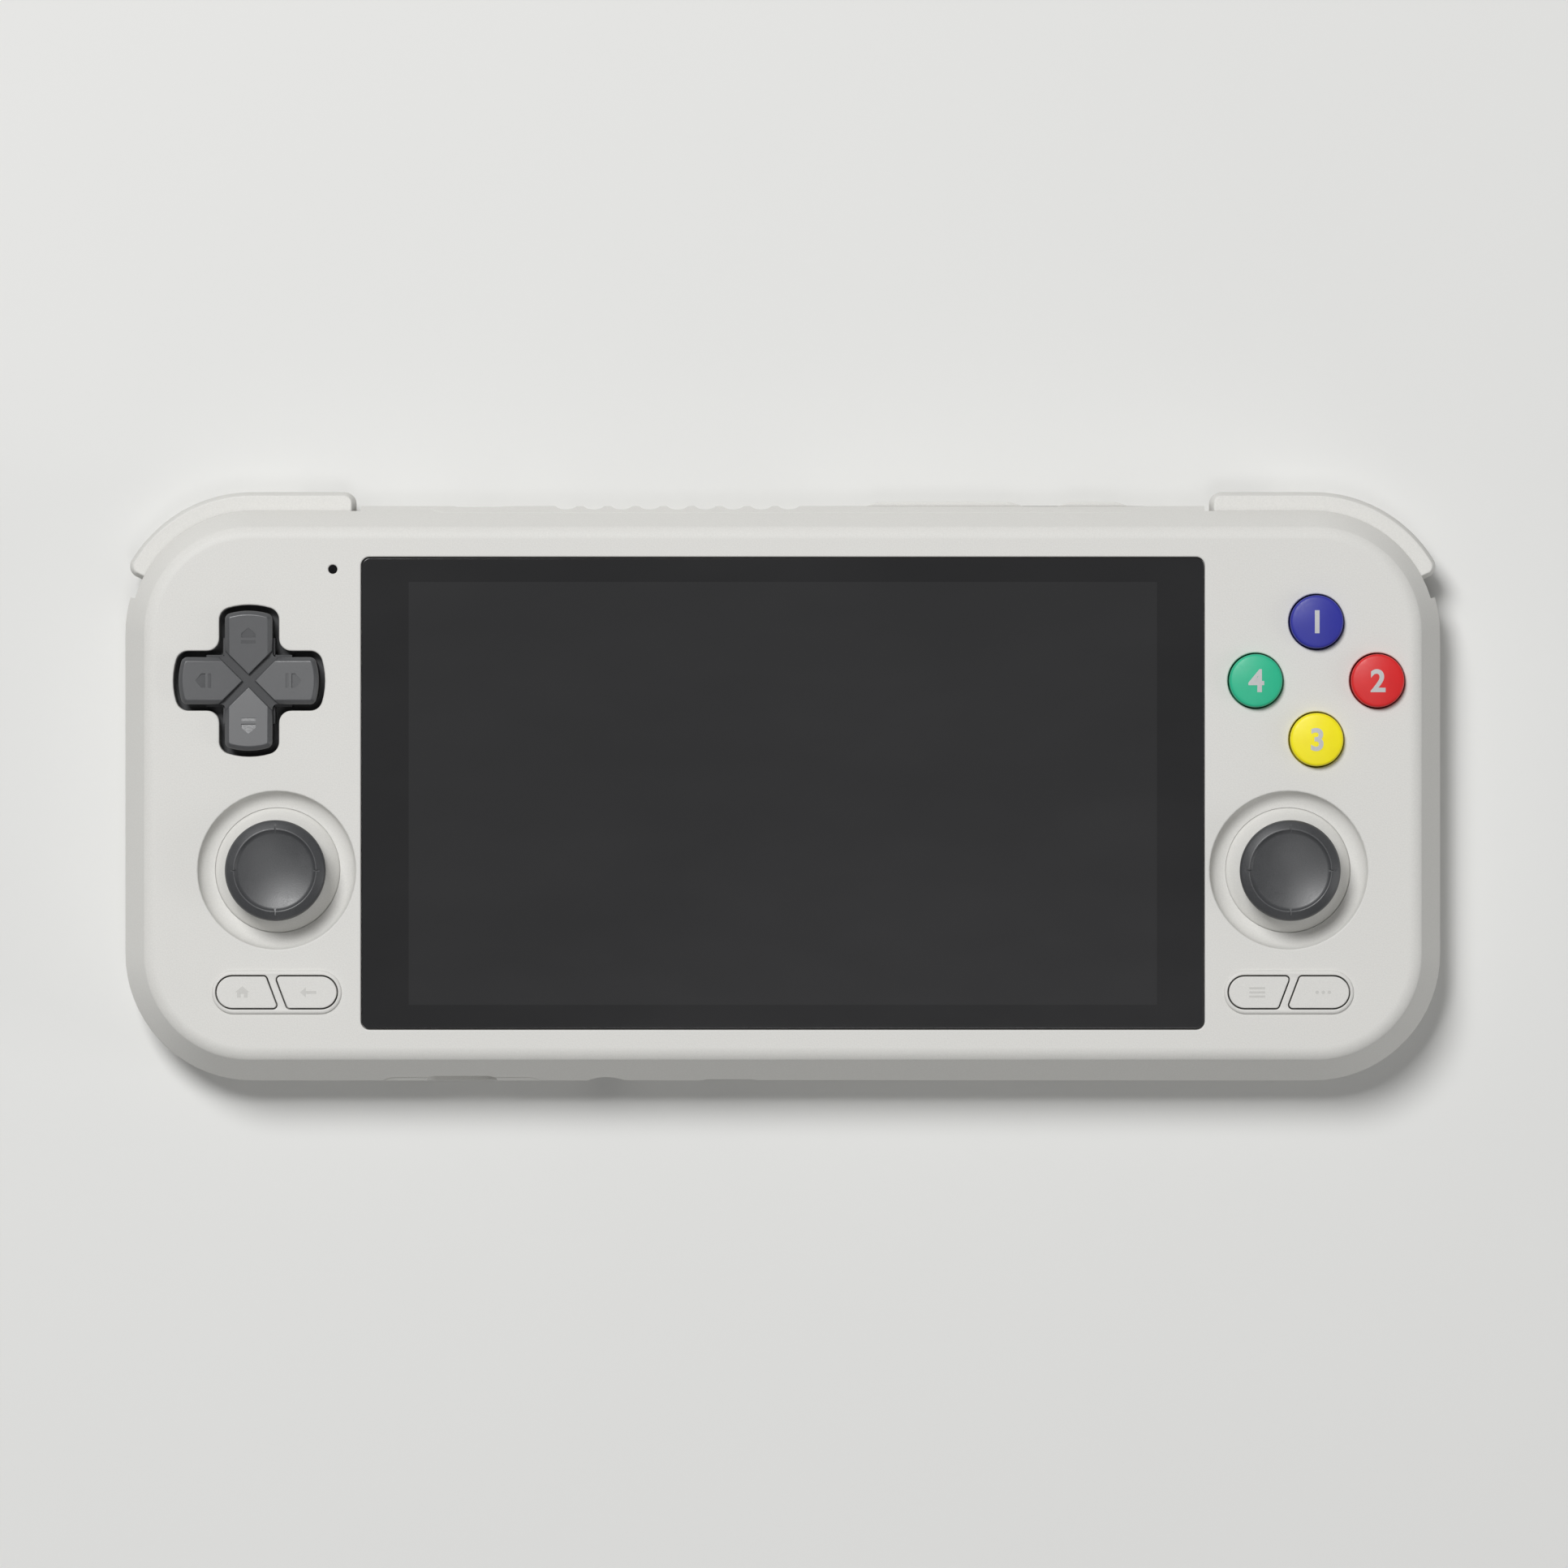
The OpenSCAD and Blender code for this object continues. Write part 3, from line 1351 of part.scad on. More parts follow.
// One unbroken coil on each side, between the slot's wall and the seat in the trigger
module trigger_springs() {
  points = [for (i = [0 : coil_rings], k = [0 : coil_sides - 1]) coil_vertex(i, k)];
  sides = [for (i = [0 : coil_rings - 1], k = [0 : coil_sides - 1], half = [0, 1])
    let (a = i * coil_sides + k, b = i * coil_sides + (k + 1) % coil_sides)
    half == 0 ? [a, b, b + coil_sides] : [a, b + coil_sides, a + coil_sides]];
  last = coil_rings * coil_sides;
  caps = [for (k = [1 : coil_sides - 2], end = [0, 1])
    end == 0 ? [0, k + 1, k] : [last, last + k, last + k + 1]];
  color(metal_colour) both_sides() at_corner() rotate(spring_a) translate([0, 0, spring_z])
    polyhedron(points, concat(sides, caps));
}

module bumper_switches() {
  middle = (bumper_z0 + bumper_z1) / 2;
  color(dark_colour) both_sides() at_corner() rotate(switch_a) translate([0, slot_r + dome_room, middle]) {
    translate([-switch_body[0] / 2, 0, -switch_body[2] / 2]) cube(switch_body);
    rotate([-90, 0, 0]) cylinder(r = knob_r, h = switch_body[1] + knob);
  }
}

// A raised key in the top strip, with sloping ends and a flange behind the strip
module side_key(x, w) {
  y1 = body_h / 2 + side_key_out;
  half = w / 2;
  color(shell_colour) translate([x, 0, side_key_z]) {
    plate(-side_key_h / 2, side_key_h / 2)
      polygon([[-half, key_flange_y0], [half, key_flange_y0], [half, y1 - side_key_out],
        [half - side_slope, y1], [side_slope - half, y1], [-half, y1 - side_key_out]]);
    plate(-side_key_h / 2 - side_flange, side_key_h / 2 + side_flange)
      translate([-half - flange_w, key_flange_y0]) square([w + 2 * flange_w, key_flange]);
  }
}

module volume_rocker() {
  side_key(volume_at, volume_w);
  color(shell_colour) translate([volume_at, key_flange_y1, side_key_z])
    rod(fulcrum_r, -side_key_h / 2 - side_flange, side_key_h / 2 + side_flange);
}

module power_key() {
  side_key(power_at, power_w);
}

// A flat ribbon along points in X and Z
module ribbon(points) {
  n = len(points);
  back = [for (i = [n - 1 : -1 : 0]) points[i] + [0, ribbon_t]];
  along_y(ribbon_y, ribbon_y + ribbon_w) polygon(concat(points, back));
}

module ribbon_cables() {
  under = board_z - board_t - ribbon_t;
  top = floor_z + battery_t;
  color([0.75, 0.5, 0.2]) {
    ribbon([[-column_x + 5.4, main_z1], [-column_x + 3.4, main_z1], [-column_x - 2, under],
      [-column_x - 4.6, under]]);
    ribbon([[board_end - 4, main_z1], [board_end - 2, main_z1], [battery_x0 - 0.6, top], [column_x - 2, top],
      [column_x + 2, under], [column_x + 4.6, under]]);
  }
}

module case_screws() {
  color(metal_colour) at_each(screws) difference() {
    union() {
      rod(head_r, screw_z0, screw_z0 + head_h);
      rod(screw_r, screw_z0 + head_h / 2, screw_z0 + head_h + screw_len);
    }
    for (turn = [0, 90])
      rotate(turn) plate(screw_z0 - over, screw_z0 + drive[2]) square([drive[0], drive[1]], center = true);
  }
}

front_shell();
rear_shell();
top_strip();
screen_glass();
screen_gasket();
display_panel();
mid_plate();
main_board();
on_side(left) control_board();  // left_control_board
on_side(right) control_board();  // right_control_board
side_key_board();
battery();
fan_housing();
fan_rotor();
heat_sink();
speakers();
usb_socket();
headphone_socket();
video_socket();
card_reader();
card_cover();
light_pipe();
direction_pad();
pad_pivot_bead();
pad_pivot_seat();
pad_membrane();
face_membrane();
menu_membranes();
face_key_top();
face_key_left();
face_key_right();
face_key_bottom();
home_key();
back_key();
select_key();
start_key();
stick_housing(left);  // left_stick_housing
stick_yoke(left);  // left_stick_yoke
stick_rocker(left);  // left_stick_rocker
stick_post(left);  // left_stick_post
stick_skirt(left);  // left_stick_skirt
stick_cap(left);  // left_stick_cap
stick_housing(right);  // right_stick_housing
stick_yoke(right);  // right_stick_yoke
stick_rocker(right);  // right_stick_rocker
stick_post(right);  // right_stick_post
stick_skirt(right);  // right_stick_skirt
stick_cap(right);  // right_stick_cap
shoulder_pins();
bumper(left);  // left_bumper
bumper(right);  // right_bumper
trigger(left);  // left_trigger
trigger(right);  // right_trigger
trigger_springs();
bumper_switches();
volume_rocker();
power_key();
ribbon_cables();
case_screws();
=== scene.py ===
"""Looks of a handheld game console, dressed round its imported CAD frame."""

import logging
import math
from collections.abc import Callable, Iterable, Sequence
from dataclasses import dataclass, field
from enum import Enum

import bmesh
import bpy
from mathutils import Matrix, Vector


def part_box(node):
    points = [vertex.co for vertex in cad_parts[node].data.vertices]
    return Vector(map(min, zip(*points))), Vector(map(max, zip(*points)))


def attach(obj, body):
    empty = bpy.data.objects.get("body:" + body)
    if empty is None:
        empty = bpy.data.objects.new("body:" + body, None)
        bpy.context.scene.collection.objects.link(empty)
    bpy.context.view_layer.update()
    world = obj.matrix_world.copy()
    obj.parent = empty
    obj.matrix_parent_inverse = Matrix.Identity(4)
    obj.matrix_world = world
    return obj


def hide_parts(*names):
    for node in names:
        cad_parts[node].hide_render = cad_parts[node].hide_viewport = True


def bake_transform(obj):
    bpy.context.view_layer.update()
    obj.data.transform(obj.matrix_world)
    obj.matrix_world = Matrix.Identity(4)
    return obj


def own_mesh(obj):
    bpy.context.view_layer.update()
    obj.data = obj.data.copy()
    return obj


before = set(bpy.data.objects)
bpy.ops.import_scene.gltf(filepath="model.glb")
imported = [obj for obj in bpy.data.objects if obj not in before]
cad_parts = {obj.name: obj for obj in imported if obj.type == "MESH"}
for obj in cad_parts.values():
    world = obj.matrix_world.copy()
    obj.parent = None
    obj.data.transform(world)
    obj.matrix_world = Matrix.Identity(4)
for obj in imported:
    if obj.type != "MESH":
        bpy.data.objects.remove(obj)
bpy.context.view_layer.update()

LOG = logging.getLogger("console")

MM = 0.001
FULL_TURN = 2 * math.pi

# Lengths from here on are in millimetres, but in the studio in metres. Angles are in degrees.
FACE_Z = 15.0
PART_Z = 7.5
HALF_BODY = (92.0, 40.2)
CORNER_R = 17.8
QUARTERS = (0, 90, 180, 270)
SHEET_Z = (9.4, 9.9)
CLOSE = 0.01
DOME_SECTION = (
    (0, 0), (1, 0), (0.96, 0.1), (0.86, 0.3), (0.76, 0.58),
    (0.68, 0.8), (0.63, 0.87), (0.55, 0.9), (0.3, 0.965), (0, 1),
)

Colour = tuple[float, float, float, float]
Point = tuple[float, float]
Edge = bmesh.types.BMEdge
Pick = Callable[[Edge], bool]


class Slot(Enum):
    """The record's material slots."""

    SHELL = "shell"
    CONTROL = "control_grey"
    RUBBER = "stick_rubber"
    GLASS = "screen_glass"
    DISPLAY = "display"
    BLUE = "blue_key"
    GREEN = "green_key"
    RED = "red_key"
    YELLOW = "yellow_key"
    DARK = "dark_plastic"
    BOARD = "circuit_board"
    STEEL = "steel"
    ALUMINIUM = "aluminium"
    MEMBRANE = "membrane"
    BATTERY = "battery_wrap"
    RIBBON = "ribbon"


class Hand(Enum):
    """The two sides of the console, as the sign of their X."""

    LEFT = -1
    RIGHT = 1

    @property
    def word(self) -> str:
        """The side's word in node and body names."""
        return self.name.lower()


def srgb(red: int, green: int, blue: int) -> Colour:
    """Turns a display colour of 0 to 255 into the linear one that shaders take, with full alpha."""
    shares = (channel / 255 for channel in (red, green, blue))
    return (*((s / 12.92 if s <= 0.04045 else ((s + 0.055) / 1.055) ** 2.4) for s in shares), 1.0)


def oblong(half_x: float, half_y: float, at: Point = (0.0, 0.0)) -> list[Point]:
    """Corners of a rectangle about a place."""
    left, right, low, high = at[0] - half_x, at[0] + half_x, at[1] - half_y, at[1] + half_y
    return [(left, low), (right, low), (right, high), (left, high)]


def rod(radius: float, low: float, high: float) -> list[Point]:
    """Section of a plain rod, for a lathe."""
    return [(0, low), (radius, low), (radius, high), (0, high)]


def shade(colour: Colour, factor: float) -> Colour:
    """A colour made lighter or darker by a factor."""
    return (*(min(1.0, channel * factor) for channel in colour[:3]), 1.0)


def arc(centre: Point, radius: float, start: float, end: float, steps: int = 6) -> list[Point]:
    """Points on a circle's arc from one angle to another, both ends included."""
    turns = (math.radians(start + (end - start) * step / steps) for step in range(steps + 1))
    return [(centre[0] + radius * math.cos(t), centre[1] + radius * math.sin(t)) for t in turns]


def placed(name: str, data: bpy.types.ID) -> bpy.types.Object:
    """A new object of the scene."""
    made = bpy.data.objects.new(name, data)
    bpy.context.scene.collection.objects.link(made)
    return made


def baked(source: bpy.types.Object) -> bpy.types.Mesh:
    """A new mesh of what an object shows, with its modifiers applied."""
    bpy.context.view_layer.update()
    return bpy.data.meshes.new_from_object(source.evaluated_get(bpy.context.evaluated_depsgraph_get()))


class Value:
    """A shader socket whose arithmetic adds Math nodes."""

    def __init__(self, paint: "Paint", socket: bpy.types.NodeSocket) -> None:
        """Wraps one output socket of a paint's node tree."""
        self.paint = paint
        self.socket = socket

    def math(self, operation: str, other: "Value | float" = 0.0, swapped: bool = False) -> "Value":
        """Adds one Math node, whose other operand comes first where they are swapped."""
        pair = (other, self) if swapped else (self, other)
        return self.paint.node("ShaderNodeMath", {"operation": operation}, dict(enumerate(pair)))

    def __add__(self, other: "Value | float") -> "Value":
        """Sum."""
        return self.math("ADD", other)

    __radd__ = __add__

    def __sub__(self, other: "Value | float") -> "Value":
        """Difference."""
        return self.math("SUBTRACT", other)

    def __rsub__(self, other: float) -> "Value":
        """Difference from a number."""
        return self.math("SUBTRACT", other, swapped=True)

    def __mul__(self, other: "Value | float") -> "Value":
        """Product."""
        return self.math("MULTIPLY", other)

    __rmul__ = __mul__

    def __abs__(self) -> "Value":
        """Size without its sign."""
        return self.math("ABSOLUTE")

    def __lt__(self, other: "Value | float") -> "Value":
        """1 where this is less than the other, and 0 elsewhere."""
        return self.math("LESS_THAN", other)


class Paint:
    """One material and the nodes that feed its shader."""

    def __init__(self, name: str) -> None:
        """Starts a material with a bare Principled shader."""
        self.material = bpy.data.materials.new(name)
        self.material.use_nodes = True
        self.tree = self.material.node_tree
        self.tree.nodes.clear()
        self.shader = self.tree.nodes.new("ShaderNodeBsdfPrincipled")
        output = self.tree.nodes.new("ShaderNodeOutputMaterial")
        self.tree.links.new(self.shader.outputs[0], output.inputs[0])

    def put(self, socket: bpy.types.NodeSocket, value: "Value | float | Sequence[float]") -> None:
        """Links a value to an input socket, or sets a plain number or colour on it."""
        if isinstance(value, Value):
            self.tree.links.new(value.socket, socket)
        else:
            socket.default_value = value

    def node(
        self,
        kind: str,
        settings: dict[str, object] | None = None,
        inputs: "dict[int | str, Value | float | Sequence[float]] | None" = None,
        output: int | str = 0,
    ) -> Value:
        """Adds any node.

        Args:
            kind: The node's type.
            settings: Its properties, set first; "stops" holds a colour ramp's (place, colour) pairs.
            inputs: Values or links of its sockets, by index or name.
            output: Which output to return.

        Returns:
            That output.
        """
        made = self.tree.nodes.new(kind)
        for key, setting in (settings or {}).items():
            if key == "stops":
                for stop, (place, colour) in zip(made.color_ramp.elements, setting):
                    stop.position, stop.color = place, colour
            else:
                setattr(made, key, setting)
        for key, value in (inputs or {}).items():
            self.put(made.inputs[key], value)
        return Value(self, made.outputs[output])

    def feed(self, **sockets: "Value | float | Sequence[float]") -> None:
        """Sets the shader's sockets, named with underscores for spaces."""
        for name, value in sockets.items():
            self.put(self.shader.inputs[name.replace("_", " ")], value)

    def place(self, stretch: Sequence[float] = (1, 1, 1), turn: float = 0.0) -> Value:
        """Object coordinates, stretched and turned about Z.

        Args:
            stretch: Factor along each axis.
            turn: Turn about Z in degrees.

        Returns:
            The coordinates.
        """
        own = self.node("ShaderNodeTexCoord", output="Object")
        rotation = (0, 0, math.radians(turn))
        return self.node("ShaderNodeMapping", inputs={"Vector": own, "Scale": stretch, "Rotation": rotation})

    def axis(self, name: str) -> Value:
        """One of the object coordinates X, Y and Z, in metres."""
        return self.node("ShaderNodeSeparateXYZ", inputs={0: self.place()}, output=name)

    def noise(
        self, size: float, detail: float = 2.0, stretch: Sequence[float] = (1, 1, 1), turn: float = 0.0
    ) -> Value:
        """Noise from about 0.2 to 0.8 with features of a size in millimetres."""
        inputs = {"Vector": self.place(stretch, turn), "Scale": 1 / (size * MM), "Detail": detail}
        return self.node("ShaderNodeTexNoise", inputs=inputs)

    def cells(self, size: float, feature: str = "F1") -> Value:
        """Distances in Voronoi cells of a size in millimetres."""
        inputs = {"Vector": self.place(), "Scale": 1 / (size * MM)}
        return self.node("ShaderNodeTexVoronoi", {"feature": feature}, inputs, "Distance")

    def mix(self, first: "Value | Colour", second: "Value | Colour", factor: Value) -> Value:
        """A colour between two, by a factor from 0 to 1."""
        settings = {"data_type": "RGBA", "clamp_factor": True}
        return self.node("ShaderNodeMix", settings, {0: factor, 6: first, 7: second}, 2)

    def tone(self, colour: Colour, spread: float, factor: Value) -> Value:
        """A colour that goes from darker to lighter by a spread, along a factor from 0 to 1."""
        return self.mix(shade(colour, 1 - spread), shade(colour, 1 + spread), factor)

    def relief(self, height: Value, depth: float) -> None:
        """Feeds a Bump node of a depth in millimetres into the shader's Normal."""
        inputs = {"Strength": 1.0, "Distance": depth * MM, "Height": height}
        self.feed(Normal=self.node("ShaderNodeBump", inputs=inputs))


@dataclass(frozen=True)
class Finish:
    """A surface finish and the record's slot that it belongs to."""

    name: str
    slot: Slot

    def material(self) -> bpy.types.Material:
        """The finish's material, made at its first use."""
        made = bpy.data.materials.get(self.name)
        if made is None:
            paint = Paint(self.name)
            self.dress(paint)
            made = paint.material
        return made

    def dress(self, paint: Paint) -> None:
        """Adds the finish's nodes to a paint."""
        raise NotImplementedError


@dataclass(frozen=True)
class Moulding(Finish):
    """Moulded plastic with a spark-eroded grain."""

    colour: Colour
    roughness: float = 0.55
    grain: float = 0.2
    speckle: float = 0.05
    drift: float = 0.02
    depth: float = 0.012
    specular: float = 0.4

    def dress(self, paint: Paint) -> None:
        """Speckled colour, uneven gloss and a fine relief."""
        grain = paint.noise(self.grain, detail=3.0)
        drift = paint.noise(size=35.0)
        fleck = (grain - 0.5) * 1.6 + 0.5
        broad = paint.tone(self.colour, self.drift, drift)
        dark = paint.tone(shade(self.colour, 1 - 2 * self.speckle), self.drift, drift)
        paint.feed(Base_Color=paint.mix(dark, broad, fleck))
        paint.feed(Roughness=(grain - 0.5) * 0.3 + (drift - 0.5) * 0.1 + self.roughness)
        paint.feed(Specular_IOR_Level=self.specular)
        paint.relief(grain + 0.5 * paint.noise(self.grain * 0.4), self.depth)


@dataclass(frozen=True)
class SatinKey(Finish):
    """Dyed satin plastic of a pressed key, with faint flow marks."""

    colour: Colour
    roughness: float = 0.45
    specular: float = 0.5

    def dress(self, paint: Paint) -> None:
        """Slight flow marks in the colour, and a gloss that changes with handling."""
        flow = paint.noise(size=1.6, detail=3.0, stretch=(1, 1, 0.4))
        touch = paint.noise(size=0.5, detail=4.0)
        paint.feed(Base_Color=paint.tone(self.colour, 0.06, flow))
        paint.feed(Roughness=(touch - 0.5) * 0.22 + self.roughness)
        paint.feed(Specular_IOR_Level=self.specular)
        paint.relief(touch, 0.004)


@dataclass(frozen=True)
class SoftRubber(Finish):
    """Rubber with a fine grain that takes some dust."""

    colour: Colour
    grain: float = 0.16
    depth: float = 0.01
    roughness: float = 0.42
    specular: float = 0.5

    def dress(self, paint: Paint) -> None:
        """Pitted grain with dust in the pits."""
        grain = paint.noise(self.grain, detail=3.0)
        dust = paint.noise(size=2.2, detail=3.0)
        fleck = (grain - 0.5) * 1.8 + (dust - 0.5) * 0.4 + 0.5
        paint.feed(Base_Color=paint.tone(self.colour, 0.16, fleck))
        paint.feed(Roughness=(dust - 0.5) * 0.14 + (grain - 0.5) * 0.2 + self.roughness)
        paint.feed(Specular_IOR_Level=self.specular)
        paint.relief(grain, self.depth)


@dataclass(frozen=True)
class BorderedGlass(Finish):
    """Screen glass with a printed border round the unlit panel."""

    border: Colour
    panel: Colour
    half_w: float
    half_h: float

    def dress(self, paint: Paint) -> None:
        """Border and panel by place, with a trace of wiped dust."""
        inside = (abs(paint.axis("X")) < self.half_w * MM) * (abs(paint.axis("Y")) < self.half_h * MM)
        smear = paint.noise(size=26.0, detail=4.0, stretch=(1, 2.2, 1), turn=20.0)
        border = paint.tone(self.border, 0.08, smear)
        panel = paint.tone(self.panel, 0.05, smear)
        paint.feed(Base_Color=paint.mix(border, panel, inside))
        paint.feed(Roughness=(smear - 0.5) * 0.1 + 0.16)
        paint.feed(Specular_IOR_Level=0.35, Coat_Weight=0.2, Coat_Roughness=0.08)


@dataclass(frozen=True)
class Metal(Finish):
    """Bare or plated metal with rolling marks."""

    colour: Colour
    roughness: float = 0.3
    stretch: tuple[float, float, float] = (1.0, 12.0, 1.0)

    def dress(self, paint: Paint) -> None:
        """Long scratches in the gloss and a little stain in the colour."""
        lines = paint.noise(size=1.2, detail=4.0, stretch=self.stretch)
        stain = paint.noise(size=6.0, detail=3.0)
        paint.feed(Base_Color=paint.tone(self.colour, 0.1, stain), Metallic=1.0)
        paint.feed(Roughness=(lines - 0.5) * 0.35 + self.roughness)
        paint.relief(lines, 0.004)


@dataclass(frozen=True)
class Laminate(Finish):
    """Circuit board with tracks under its solder resist."""

    colour: Colour
    pitch: float = 1.6

    def dress(self, paint: Paint) -> None:
        """Lighter resist over the tracks, and rows of small pads."""
        track = paint.cells(self.pitch, "DISTANCE_TO_EDGE") < 0.09
        hole = paint.cells(self.pitch * 0.8) < 0.16
        weave = paint.noise(size=0.25)
        resist = paint.mix(paint.tone(self.colour, 0.12, weave), shade(self.colour, 1.7), track)
        paint.feed(Base_Color=paint.mix(resist, srgb(196, 168, 96), hole))
        paint.feed(Roughness=0.42 - 0.14 * hole + (weave - 0.5) * 0.1)
        paint.relief(track + hole, 0.02)


@dataclass(frozen=True)
class Film(Finish):
    """Thin wrap or flexible film with creases."""

    colour: Colour
    roughness: float = 0.35

    def dress(self, paint: Paint) -> None:
        """Creases that catch the light, and an uneven tint."""
        crease = paint.noise(size=4.0, detail=5.0, stretch=(1, 2.5, 1), turn=25.0)
        paint.feed(Base_Color=paint.tone(self.colour, 0.14, crease))
        paint.feed(Roughness=(crease - 0.5) * 0.3 + self.roughness)
        paint.relief(crease, 0.06)


@dataclass(frozen=True)
class Print(Finish):
    """Pad-printed ink."""

    colour: Colour

    def dress(self, paint: Paint) -> None:
        """Ink that is a little thin in spots."""
        spots = paint.noise(size=0.25, detail=3.0)
        paint.feed(Base_Color=paint.tone(self.colour, 0.07, spots))
        paint.feed(Roughness=(spots - 0.5) * 0.2 + 0.5)
        paint.relief(spots, 0.004)


SHELL = Moulding("shell_plastic", Slot.SHELL, srgb(226, 225, 221))
CONTROL = Moulding(
    "control_plastic", Slot.CONTROL, srgb(80, 81, 83), roughness=0.42, grain=0.22, speckle=0.06, drift=0.04,
    depth=0.004, specular=0.8,
)
# Painted shade: a darker copy of the pad's plastic for the cross, its groove floors, foot and collar,
# standing in for the shade in the pad's grooves and gap.
CONTROL_PAINTED_SHADE = Moulding(
    "control_painted_shade", Slot.CONTROL, srgb(60, 61, 63), roughness=0.5, grain=0.3, speckle=0.06, drift=0.04,
    depth=0.008, specular=0.5,
)
STICK = SoftRubber("grained_rubber", Slot.RUBBER, srgb(66, 67, 69), roughness=0.43, specular=0.75)
DARK = Moulding("black_moulding", Slot.DARK, srgb(42, 42, 44), roughness=0.5, grain=0.3, speckle=0.08)
LENS = SatinKey("smoked_lens", Slot.DARK, srgb(13, 13, 14), roughness=0.15)
STEEL = Metal("plated_steel", Slot.STEEL, srgb(205, 205, 208))
ALUMINIUM = Metal("rolled_aluminium", Slot.ALUMINIUM, srgb(222, 223, 226), roughness=0.38)
BOARD = Laminate("solder_resist", Slot.BOARD, srgb(24, 84, 56))
SILICONE = SoftRubber(
    "silicone_sheet", Slot.MEMBRANE, srgb(214, 213, 206), grain=0.6, depth=0.006, roughness=0.55
)
WRAP = Film("battery_film", Slot.BATTERY, srgb(52, 52, 56))
FLEX = Film("flexible_circuit", Slot.RIBBON, srgb(196, 132, 60), roughness=0.28)
PANEL = Film("display_film", Slot.DISPLAY, srgb(40, 40, 42), roughness=0.2)
GLASS = BorderedGlass(
    "bordered_glass", Slot.GLASS, border=srgb(41, 41, 42), panel=srgb(49, 49, 50), half_w=52.03, half_h=29.4
)
KEY_INK = Print("key_ink", Slot.SHELL, srgb(196, 196, 196))
MENU_INK = Print("menu_ink", Slot.SHELL, srgb(203, 202, 198))


class Shape:
    """A mesh under construction, in millimetres, that ends as one piece."""

    MERGE = 0.002
    WELD = 0.0005
    FLAT_TURN = 0.3
    UPRIGHT = 0.9999

    def __init__(self) -> None:
        """Starts an empty mesh."""
        self.bm = bmesh.new()

    @classmethod
    def of_node(cls, node: str, whole: bool = True) -> "Shape":
        """Copies a CAD node's mesh, merged and without its stored normals.

        Args:
            node: Name of the CAD node.
            whole: True to join the triangles of each flat face.

        Returns:
            The copy.
        """
        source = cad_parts[node].data
        bare = bpy.data.meshes.new("bare")
        corners = [vert.co for vert in source.vertices]
        bare.from_pydata(corners, [], [face.vertices[:] for face in source.polygons])
        made = cls()
        made.bm.from_mesh(bare)
        bpy.data.meshes.remove(bare)
        bmesh.ops.scale(made.bm, vec=Vector((1 / MM,) * 3), verts=made.bm.verts)
        bmesh.ops.remove_doubles(made.bm, verts=made.bm.verts, dist=cls.MERGE)
        if whole:
            limit = math.radians(cls.FLAT_TURN)
            bmesh.ops.dissolve_limit(made.bm, angle_limit=limit, verts=made.bm.verts, edges=made.bm.edges)
        return made

    @classmethod
    def lathe(cls, profile: Sequence[Point], at: Point, steps: int = 96) -> "Shape":
        """Spins a profile of (radius, height) points about an upright axis.

        Args:
            profile: Points from the axis round to the axis.
            at: Place of the axis.
            steps: Faces round the turn.

        Returns:
            The closed solid.
        """
        made = cls()
        verts = [made.bm.verts.new((radius, 0, height)) for radius, height in profile]
        edges = [made.bm.edges.new(pair) for pair in zip(verts, verts[1:])]
        bmesh.ops.spin(
            made.bm, geom=verts + edges, cent=(0, 0, 0), axis=(0, 0, 1), angle=FULL_TURN, steps=steps,
            use_merge=True,
        )
        return made.closed().moved((*at, 0))

    @classmethod
    def plate(cls, outline: Sequence[Point], low: float, high: float) -> "Shape":
        """Extrudes a flat outline from one height to another.

        Args:
            outline: Points of the outline in order.
            low: Lower height.
            high: Upper height.

        Returns:
            The closed solid.
        """
        made = cls()
        made.bm.faces.new([made.bm.verts.new((x, y, low)) for x, y in outline])
        return made.raised(high - low)

    @property
    def geom(self) -> list[bmesh.types.BMVert | Edge | bmesh.types.BMFace]:
        """All vertices, edges and faces."""
        return self.bm.verts[:] + self.bm.edges[:] + self.bm.faces[:]

    def raised(self, height: float) -> "Shape":
        """Extrudes all faces upwards to a closed solid."""
        grown = bmesh.ops.extrude_face_region(self.bm, geom=self.bm.faces[:], use_keep_orig=True)
        tops = [item for item in grown["geom"] if isinstance(item, bmesh.types.BMVert)]
        bmesh.ops.translate(self.bm, vec=(0, 0, height), verts=tops)
        return self.closed()

    def closed(self) -> "Shape":
        """Merges doubles, then turns all faces outwards."""
        bmesh.ops.remove_doubles(self.bm, verts=self.bm.verts, dist=self.WELD)
        bmesh.ops.recalc_face_normals(self.bm, faces=self.bm.faces)
        return self

    def moved(self, by: Sequence[float]) -> "Shape":
        """Shifts the mesh."""
        bmesh.ops.translate(self.bm, vec=by, verts=self.bm.verts)
        return self

    def mirrored(self) -> "Shape":
        """Swaps left and right."""
        bmesh.ops.scale(self.bm, vec=(-1, 1, 1), verts=self.bm.verts)
        return self.closed()

    def sloped(self, rise: float, start: float) -> "Shape":
        """Shears the mesh upwards along X, with no change at a start."""
        lean = Matrix.Identity(4)
        lean[2][0], lean[2][3] = rise, -rise * start
        bmesh.ops.transform(self.bm, matrix=lean, verts=self.bm.verts)
        return self

    def turned(self, degrees: float, axis: str = "Z") -> "Shape":
        """Turns the mesh about an axis of the frame."""
        turn = Matrix.Rotation(math.radians(degrees), 3, axis)
        bmesh.ops.rotate(self.bm, cent=(0, 0, 0), matrix=turn, verts=self.bm.verts)
        return self

    def tipped(self) -> "Shape":
        """Lays an upright mesh down, so that Z becomes Y."""
        return self.turned(-90, "X")

